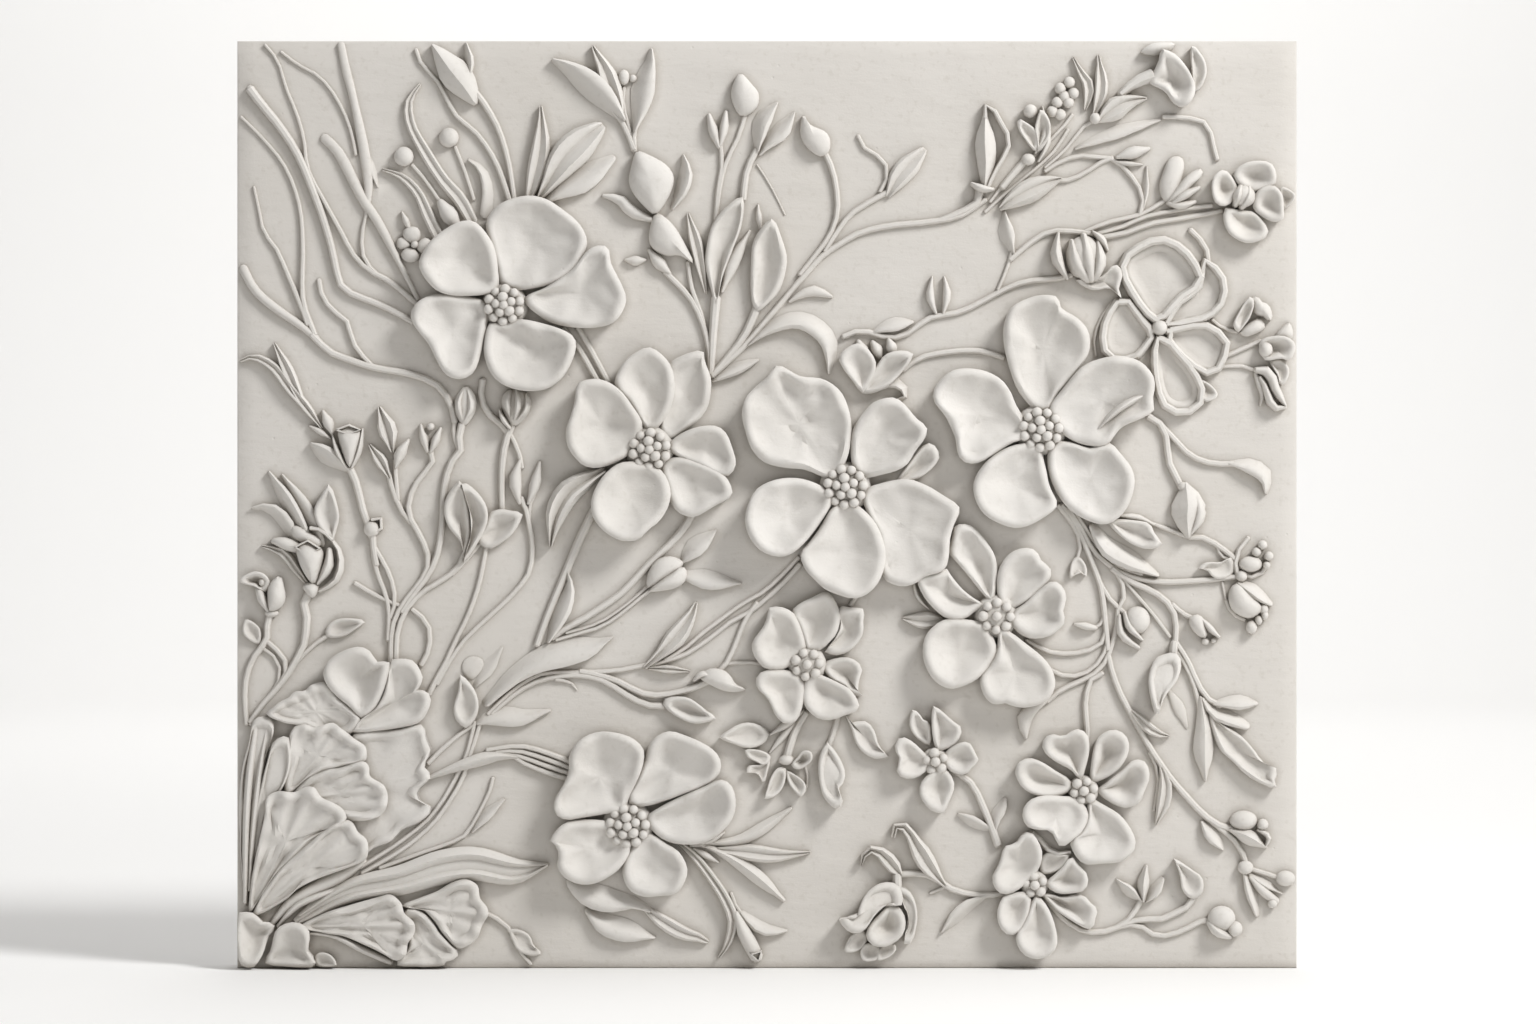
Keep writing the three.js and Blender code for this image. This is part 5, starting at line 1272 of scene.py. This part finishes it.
petal(10, [286,795, 288,765, 289,742, 294,728, 303,723, 318,726, 333,722, 343,728, 356,738, 366,745,
    368,753, 365,761, 345,765, 325,770, 308,779], 1.5, 16, 1.1)
petal(11, [292,800, 302,783, 318,772, 340,766, 362,760, 370,765, 372,776, 385,784, 389,795, 387,808,
    377,817, 360,820, 343,820, 320,812], 1.5, 17, 1.1)
petal(12, [250,912, 252,880, 259,845, 266,815, 268,797, 280,790, 296,791, 306,786, 316,786, 323,796,
    336,802, 345,809, 347,820, 325,832, 300,851, 278,873, 262,896], 1, 19, 1.5)
petal(13, [255,915, 262,895, 278,872, 300,850, 325,830, 344,819, 354,821, 360,831, 368,838, 370,848,
    366,859, 345,868, 320,877, 300,887, 285,900], 1, 19, 1.2)
leaf(7, [272,924,5, 290,903,12, 318,886,14, 345,873,15, 365,860,6], 'round')
leaf(8, [278,926,4, 300,903,8, 337,889,7], 'round')
leaf(6, [296,921,8, 320,902,16, 350,890,23, 400,880,28, 440,868,32, 475,864,32, 515,871,26, 548,864,3],
    'round')
leaf(9, [300,915,5, 350,884,10, 400,872,13, 440,858,16, 475,854,16, 515,863,13, 548,864,3], 'ridge')
leaf(9, [300,922,5, 350,897,10, 400,888,13, 440,877,15, 475,873,15, 515,879,11, 548,864,3], 'ridge')
petal(12, [300,926, 325,912, 350,904, 378,896, 392,893, 402,901, 406,912, 416,922, 415,933, 409,942,
    407,954, 397,959, 385,953, 365,943, 345,935, 325,932], 1, 24, 1.2)
leaf(8, [308,932,4, 335,935,6, 360,947,8, 392,962,7], 'round')
petal(9, [404,925, 405,909, 418,908, 430,917, 440,931, 452,944, 460,951, 455,958, 444,961, 442,965,
    405,965, 396,962, 406,953, 410,940], 1.5, 8, 0.9)
petal(10, [402,905, 420,897, 438,890, 453,881, 467,878, 478,884, 481,897, 488,906, 489,914, 483,924,
    478,937, 467,945, 457,947, 446,936, 436,921, 424,910], 1.5, 14, 1.1)
petal(13, [270,935, 277,927, 272,921, 264,920, 257,912, 248,910, 240,913, 240,935, 241,958, 246,965,
    256,965, 265,952], 3, 2, 1)
petal(14, [266,962, 272,948, 278,928, 290,921, 301,921, 309,926, 312,934, 310,949, 315,956, 316,965,
    290,965], 3, 3, 1)
petal(8, [318,965, 316,955, 322,951, 331,953, 337,960, 336,965], 1.5)
stem(5, 5, [475,722, 466,757, 456,777, 443,800, 427,820, 405,838, 383,853, 360,867])
stem(5, 5, [480,724, 471,752, 463,777, 450,800, 434,822, 412,842, 390,857, 362,873])
stem(4, 6, [498,712, 473,725, 455,738, 440,751, 428,763])
leaf(7, [430,777,4, 465,764,10, 495,756,13, 518,757,3], 'ridge')
for step in [0, 1, 2, 3]:
    stem(5, 6, [487 + step * 9,750 + step * 2, 520,746 + step * 5, 548,753 + step * 6.5,
        573,763 + step * 5.5], 1)
stem(4, 5, [493,778, 490,790, 483,805, 475,820, 465,835, 450,843, 430,850, 410,857, 380,868])
leaf(4, [472,831,4, 487,814,12, 504,799,3], 'fold')
stem(5, 4, [484,912, 500,920, 508,927, 516,941, 523,955, 531,964])
petal(3.5, [508,928, 520,929, 530,935, 534,945, 543,953, 530,955, 518,950, 512,940], 1)

# %% [markdown]
# ## Finer modelling of the clump
# Two ribs on the tall leaf at the edge. They are separate low strips, because they run side by side and don't
# spread from one point.

# %% Finer modelling of the clump
leaf(8.5, [246,902,5, 247,840,8, 250,780,9, 257,722,8], 'round')
leaf(8.0, [250,890,4, 254,830,7, 261,770,8, 268,726,6], 'round')

# %% [markdown]
# ## Petals folded round the lotus bud and the orchid's heart
# A closed bud shows the edges of its outer petals. Each is a short rounded leaf that starts at the bud's base
# and ends at its tip, laid over the ball. The last one is the curled edge of the fourth flower's right petal.

# %% Petals folded round the lotus bud and the orchid's heart
leaf(12, [1088,281,9, 1076,264,17, 1071,241,5], 'round')
leaf(13, [1091,281,9, 1087,258,18, 1083,235,6], 'round')
leaf(12, [1094,280,8, 1099,262,15, 1097,242,5], 'round')
leaf(12, [1234,207,6, 1237,196,12, 1240,186,5], 'round')
leaf(12, [1240,209,6, 1247,198,12, 1248,187,5], 'round')
leaf(16, [1151,393,6, 1131,401,9, 1112,414,8, 1096,430,4], 'round')


# %% [markdown]
# ## The front of the slab
# The ground of the panel was struck off by hand, so it is flat but not dead flat. The front starts as a grid,
# and its vertices are moved by a little noise. Along the border they are drawn in and lowered, which starts
# the eased arris. The wear of the arris is noise too, so the edge isn't a ruled line.

# %% The front of the slab
GROUND_STEP = 10.0
GROUND_WAVE = 0.3
GROUND_REACH = 30
ARRIS = 1.4
ARRIS_WEAR = 0.9
WEAR_REACH = 9
BORDER_DROP = 0.5

slab_shape = bmesh.new()
bmesh.ops.create_grid(
    slab_shape,
    x_segments=round(SLAB_WIDTH / GROUND_STEP),
    y_segments=round(SLAB_HEIGHT / GROUND_STEP),
    size=0.5,
)
for corner in slab_shape.verts:
    at_side, at_end = abs(corner.co.x) > 0.4999, abs(corner.co.y) > 0.4999
    spot = Vector((corner.co.x * SLAB_WIDTH, corner.co.y * SLAB_HEIGHT))
    wear = ARRIS + ARRIS_WEAR * noise.noise(Vector((spot.x / WEAR_REACH, spot.y / WEAR_REACH, 4.0)))
    if at_side:
        spot.x -= math.copysign(wear, spot.x)
    if at_end:
        spot.y -= math.copysign(wear, spot.y)
    drop = BORDER_DROP if at_side or at_end else 0.0
    corner.co = lifted(spot, hand(spot, GROUND_WAVE, GROUND_REACH) - drop)
print("the front has", len(slab_shape.faces), "faces")

# %% [markdown]
# ## The sides and the back
# The border edges are extruded again and again: out over the arris, down the side, in over the small arris of
# the back. Each ring below has its distance inside the slab's outline and its height over the ground. The
# back is left plain and flat, because it lies against the wall.

# %% The sides and the back
SIDE_RINGS = [(0.35, -0.9), (0.0, -2.0), (0.0, 0.8 - SLAB_THICKNESS), (0.8, -SLAB_THICKNESS)]
BORDER_BAND = 2.6


def push_out(edges, inset, height):
    """Extrudes the border once and sets it at a distance inside the slab's outline."""
    grown = bmesh.ops.extrude_edge_only(slab_shape, edges=edges)["geom"]
    half = Vector((SLAB_WIDTH / 2 - inset, SLAB_HEIGHT / 2 - inset)) * MM
    band = Vector((SLAB_WIDTH / 2 - BORDER_BAND, SLAB_HEIGHT / 2 - BORDER_BAND)) * MM
    for corner in (v for v in grown if isinstance(v, bmesh.types.BMVert)):
        if abs(corner.co.x) > band.x:
            corner.co.x = math.copysign(half.x, corner.co.x)
        if abs(corner.co.z) > band.y:
            corner.co.z = math.copysign(half.y, corner.co.z)
        corner.co.y = lifted(Vector((0, 0)), height).y
    return [e for e in grown if isinstance(e, bmesh.types.BMEdge) and e.is_boundary]


border = [edge for edge in slab_shape.edges if edge.is_boundary]
for inset, height in SIDE_RINGS:
    border = push_out(border, inset, height)
bmesh.ops.holes_fill(slab_shape, edges=border)
bmesh.ops.recalc_face_normals(slab_shape, faces=slab_shape.faces)
slab_mesh = bpy.data.meshes.new("slab")
slab_shape.to_mesh(slab_mesh)
slab_shape.free()
panel = bpy.data.objects.new("plaster_panel", slab_mesh)
bpy.context.scene.collection.objects.link(panel)
print("slab has", len(slab_mesh.polygons), "faces")

# %% [markdown]
# ## Casting it all as one
# The Boolean modifier can join a whole collection at once. Its Manifold solver is fast and always gives a
# closed result, provided that every form going in is closed, which is why the forms were filled and their
# normals recalculated. The joined mesh then replaces the slab's own, and the separate forms are deleted.

# %% Casting it all as one
casting = panel.modifiers.new("casting", "BOOLEAN")
casting.operation = "UNION"
casting.operand_type = "COLLECTION"
casting.collection = forms
casting.solver = "MANIFOLD"
dressed = panel.evaluated_get(bpy.context.evaluated_depsgraph_get())
joined = bpy.data.meshes.new_from_object(dressed)
panel.modifiers.remove(casting)
panel.data = joined
for form in list(forms.objects):
    bpy.data.objects.remove(form, do_unlink=True)
bpy.data.collections.remove(forms)

finished = bmesh.new()
finished.from_mesh(joined)
open_edges = sum(1 for edge in finished.edges if len(edge.link_faces) != 2)
triangles = sum(len(face.verts) - 2 for face in finished.faces)
print("panel has", triangles, "triangles and", open_edges, "open edges")
finished.free()

# %% [markdown]
# ## Soft and crisp edges
# Plaster forms are smooth, but where a petal's wall meets the ground there is a crisp line. Shading smooth by
# angle does both: faces that meet at a small angle are blended, and the others keep their edge.

# %% Soft and crisp edges
CRISP_ANGLE = math.radians(38)
joined.shade_smooth()
joined.set_sharp_from_angle(angle=CRISP_ANGLE)
print("edges sharper than", round(math.degrees(CRISP_ANGLE)), "degrees stay crisp")

# %% [markdown]
# ## The plaster material
# Cast plaster is matte and off-white, so the shader is rough and hardly glossy. Its patterns all read Object
# coordinates, so they belong to the object and stay put from every side. Three small helpers add the nodes:
# one for a noise pattern, one that turns a pattern into tones, and one that lays tones over each other.

# %% The plaster material
plaster = bpy.data.materials.new("plaster")
plaster.use_nodes = True
nodes, links = plaster.node_tree.nodes, plaster.node_tree.links
shader = nodes["Principled BSDF"]
shader.inputs["Roughness"].default_value = 0.86
shader.inputs["Specular IOR Level"].default_value = 0.28
coordinates = nodes.new("ShaderNodeTexCoord").outputs["Object"]


def noise_field(scale, detail, stretch=(1, 1, 1)):
    mapping = nodes.new("ShaderNodeMapping")
    mapping.inputs["Scale"].default_value = stretch
    links.new(coordinates, mapping.inputs["Vector"])
    field = nodes.new("ShaderNodeTexNoise")
    field.inputs["Scale"].default_value = scale
    field.inputs["Detail"].default_value = detail
    links.new(mapping.outputs["Vector"], field.inputs["Vector"])
    return field.outputs["Fac"]


def ramp(factor, stops):
    """Colours or greys along a factor: each stop is a position and a colour."""
    node = nodes.new("ShaderNodeValToRGB")
    while len(node.color_ramp.elements) < len(stops):
        node.color_ramp.elements.new(0.5)
    for element, (position, colour) in zip(node.color_ramp.elements, stops):
        element.position = position
        element.color = (*colour, 1)
    links.new(factor, node.inputs["Fac"])
    return node.outputs["Color"]


def multiplied(first, second, strength):
    mix = nodes.new("ShaderNodeMix")
    mix.data_type = "RGBA"
    mix.blend_type = "MULTIPLY"
    mix.inputs["Factor"].default_value = strength
    links.new(first, mix.inputs["A"])
    links.new(second, mix.inputs["B"])
    return mix.outputs["Result"]


panel.data.materials.clear()
panel.data.materials.append(plaster)
print("the panel's material is", plaster.name)

# %% [markdown]
# ## Tones of the plaster
# The plaster isn't one colour all over. The ground is a little darker than the relief, and the tone rises
# over the first few millimetres of height. Over that lie faint warm clouds and a few dusty specks.
# Painted shade darkens the crevices: the Ambient Occlusion node finds the places that have other plaster
# close by, and the colour is made darker there, where shade falls.

# %% Tones of the plaster
WHITE = (1, 1, 1)
GROUND_TONE = (0.655, 0.628, 0.592)
RELIEF_TONE = (0.685, 0.662, 0.63)
CLOUD_TONE = (0.955, 0.95, 0.94)
SPECK_TONE = (0.88, 0.87, 0.85)
# the colour of the painted shade in the crevices
CREVICE_SHADE_TONE = (0.5, 0.47, 0.43)
GROUND_LEVEL = SLAB_THICKNESS * MM
TONE_RISE = 5 * MM
CREVICE_REACH = 5 * MM

depth = nodes.new("ShaderNodeSeparateXYZ")
links.new(coordinates, depth.inputs["Vector"])
rise = nodes.new("ShaderNodeMapRange")
rise.inputs["From Min"].default_value = -GROUND_LEVEL
rise.inputs["From Max"].default_value = -GROUND_LEVEL - TONE_RISE
links.new(depth.outputs["Y"], rise.inputs["Value"])
toned = ramp(rise.outputs["Result"], [(0.0, GROUND_TONE), (1.0, RELIEF_TONE)])
cloudy = ramp(noise_field(scale=9, detail=4), [(0.35, CLOUD_TONE), (0.65, WHITE)])
clouds = multiplied(toned, cloudy, 1.0)
specks = ramp(noise_field(scale=330, detail=3), [(0.30, SPECK_TONE), (0.42, WHITE)])
# painted shade: the colour darkens where other plaster is close by, as in creases and under petals
crevice = nodes.new("ShaderNodeAmbientOcclusion")
crevice.samples = 1
crevice.inputs["Distance"].default_value = CREVICE_REACH
painted_crevice_shade = ramp(crevice.outputs["AO"], [(0.15, CREVICE_SHADE_TONE), (0.8, WHITE)])
speckled = multiplied(clouds, specks, 0.5)
links.new(multiplied(speckled, painted_crevice_shade, 1.0), shader.inputs["Base Color"])
print("tones from", GROUND_TONE, "to", RELIEF_TONE)

# %% [markdown]
# ## Grain, trowel drag and pinholes
# Close up, cast plaster shows fine grain, long soft marks where the trowel dragged over it, and here and
# there a pinhole from an air bubble. They are too small to model, so each is a bump. The bumps are chained:
# each takes the normal of the one before it.

# %% Grain, trowel drag and pinholes
BLACK = (0, 0, 0)
DRAG_STRETCH = (0.4, 1, 1.3)
PINHOLE_SCALE = 62
PINHOLE_EDGE = 0.055

grain = noise_field(scale=900, detail=3)
drag = noise_field(scale=60, detail=6, stretch=DRAG_STRETCH)
pinholes = nodes.new("ShaderNodeTexVoronoi")
pinholes.inputs["Scale"].default_value = PINHOLE_SCALE
links.new(coordinates, pinholes.inputs["Vector"])
pits = ramp(pinholes.outputs["Distance"], [(0.0, BLACK), (PINHOLE_EDGE, WHITE)])


def bumped(height, strength, distance, before=None):
    bump = nodes.new("ShaderNodeBump")
    bump.inputs["Strength"].default_value = strength
    bump.inputs["Distance"].default_value = distance
    links.new(height, bump.inputs["Height"])
    if before is not None:
        links.new(before, bump.inputs["Normal"])
    return bump.outputs["Normal"]


surface = bumped(drag, strength=0.6, distance=1.6 * MM)
surface = bumped(grain, strength=0.25, distance=0.3 * MM, before=surface)
surface = bumped(pits, strength=0.5, distance=0.5 * MM, before=surface)
links.new(surface, shader.inputs["Normal"])
print("plaster material with", len(nodes), "nodes")

# %% [markdown]
# ## Telling the frame
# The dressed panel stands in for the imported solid. It rides on the one body that the part has.

# %% Telling the frame
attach(panel, "root")
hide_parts("relief_panel")
print("the panel replaces the solid relief_panel")

# %% [markdown]
# ## Floor and backdrop
# The panel stands upright on a pale table, photographed in a bright room. One sheet does for both table and
# backdrop: a strip whose far edge is extruded up in a curve, so there is no corner line behind the panel. The
# curve is far back, so that the camera has room to go around the panel and see it from behind.

# %% Floor and backdrop
FLOOR_HALF_WIDTH = 4.5
FLOOR_NEAR = -4.5
CURVE_START = 3.4
CURVE_RADIUS = 0.9
CURVE_STEPS = 12
WALL_TOP = 3.2
STUDIO_WHITE = (0.89, 0.885, 0.875, 1)
floor_level = solid_low.z

sheet_shape = bmesh.new()
near_edge = sheet_shape.edges.new([
    sheet_shape.verts.new((-FLOOR_HALF_WIDTH, FLOOR_NEAR, floor_level)),
    sheet_shape.verts.new((FLOOR_HALF_WIDTH, FLOOR_NEAR, floor_level)),
])
profile = [(CURVE_START, floor_level)]
for k in range(1, CURVE_STEPS + 1):
    turn = k / CURVE_STEPS * math.pi / 2
    along = CURVE_START + CURVE_RADIUS * math.sin(turn)
    profile.append((along, floor_level + CURVE_RADIUS * (1 - math.cos(turn))))
profile.append((CURVE_START + CURVE_RADIUS, WALL_TOP))
edge = near_edge
for y, z in profile:
    grown = bmesh.ops.extrude_edge_only(sheet_shape, edges=[edge])["geom"]
    edge = next(e for e in grown if isinstance(e, bmesh.types.BMEdge))
    for corner in edge.verts:
        corner.co.y, corner.co.z = y, z
bmesh.ops.recalc_face_normals(sheet_shape, faces=sheet_shape.faces)
sheet_mesh = bpy.data.meshes.new("studio_sheet")
sheet_shape.to_mesh(sheet_mesh)
sheet_shape.free()
sheet_mesh.shade_smooth()
studio_sheet = bpy.data.objects.new("studio_sheet", sheet_mesh)
bpy.context.scene.collection.objects.link(studio_sheet)
pale = bpy.data.materials.new("studio_white")
pale.use_nodes = True
pale_shader = pale.node_tree.nodes["Principled BSDF"]
pale_shader.inputs["Base Color"].default_value = STUDIO_WHITE
pale_shader.inputs["Roughness"].default_value = 0.9
sheet_mesh.materials.append(pale)
print("floor at", round(floor_level, 4), "m")

# %% [markdown]
# ## Light
# Relief is drawn by light from the side. One large soft lamp high on the right models the forms, two more
# light the table and the far wall, and a bright surrounding fills the shadows, so the plaster keeps its pale,
# quiet look.

# %% Light
ROOM_TONE = (1.0, 0.985, 0.965, 1)
ROOM_STRENGTH = 0.33


def soft_lamp(name, spot, aim, size, power):
    lamp = bpy.data.lights.new(name, "AREA")
    lamp.shape = "DISK"
    lamp.size = size
    lamp.energy = power
    holder = bpy.data.objects.new(name, lamp)
    holder.location = spot
    holder.rotation_euler = (Vector(aim) - Vector(spot)).to_track_quat("-Z", "Y").to_euler()
    bpy.context.scene.collection.objects.link(holder)


soft_lamp("window", spot=(1.75, -1.35, 1.9), aim=(0, 0, 0), size=0.9, power=76)
soft_lamp("backdrop", spot=(0, 0.5, 2.6), aim=(0, 1.2, 0.4), size=1.6, power=17)
soft_lamp("far wall", spot=(0, 2.4, 2.6), aim=(0, 4.2, 0.2), size=1.6, power=46)
room = bpy.data.worlds.new("room")
room.use_nodes = True
background = room.node_tree.nodes["Background"]
background.inputs["Color"].default_value = ROOM_TONE
background.inputs["Strength"].default_value = ROOM_STRENGTH
bpy.context.scene.world = room
bpy.context.scene.view_settings.view_transform = "Standard"
print("three lamps and a bright room")

# %% [markdown]
# ## Camera
# The picture is taken square on, from far enough away that the panel's sides don't show. The focal length
# follows from the width that the picture spans on the panel's face, and the picture's middle is a place on
# the drawing.

# %% Camera
CAMERA_DISTANCE = 2.5
SENSOR_WIDTH = 36
PICTURE_WIDTH, PICTURE_HEIGHT = 1536, 1024
picture_span = PICTURE_WIDTH * UNIT_X * MM
eye = bpy.data.cameras.new("camera")
eye.sensor_width = SENSOR_WIDTH
eye.lens = SENSOR_WIDTH * CAMERA_DISTANCE / picture_span
camera = bpy.data.objects.new("camera", eye)
middle = place(PICTURE_WIDTH / 2, PICTURE_HEIGHT / 2) * MM
camera.location = (middle.x, -GROUND_LEVEL - CAMERA_DISTANCE, middle.y)
camera.rotation_euler = (math.pi / 2, 0, 0)
bpy.context.scene.collection.objects.link(camera)
bpy.context.scene.camera = camera
print("lens", round(eye.lens, 1), "mm")
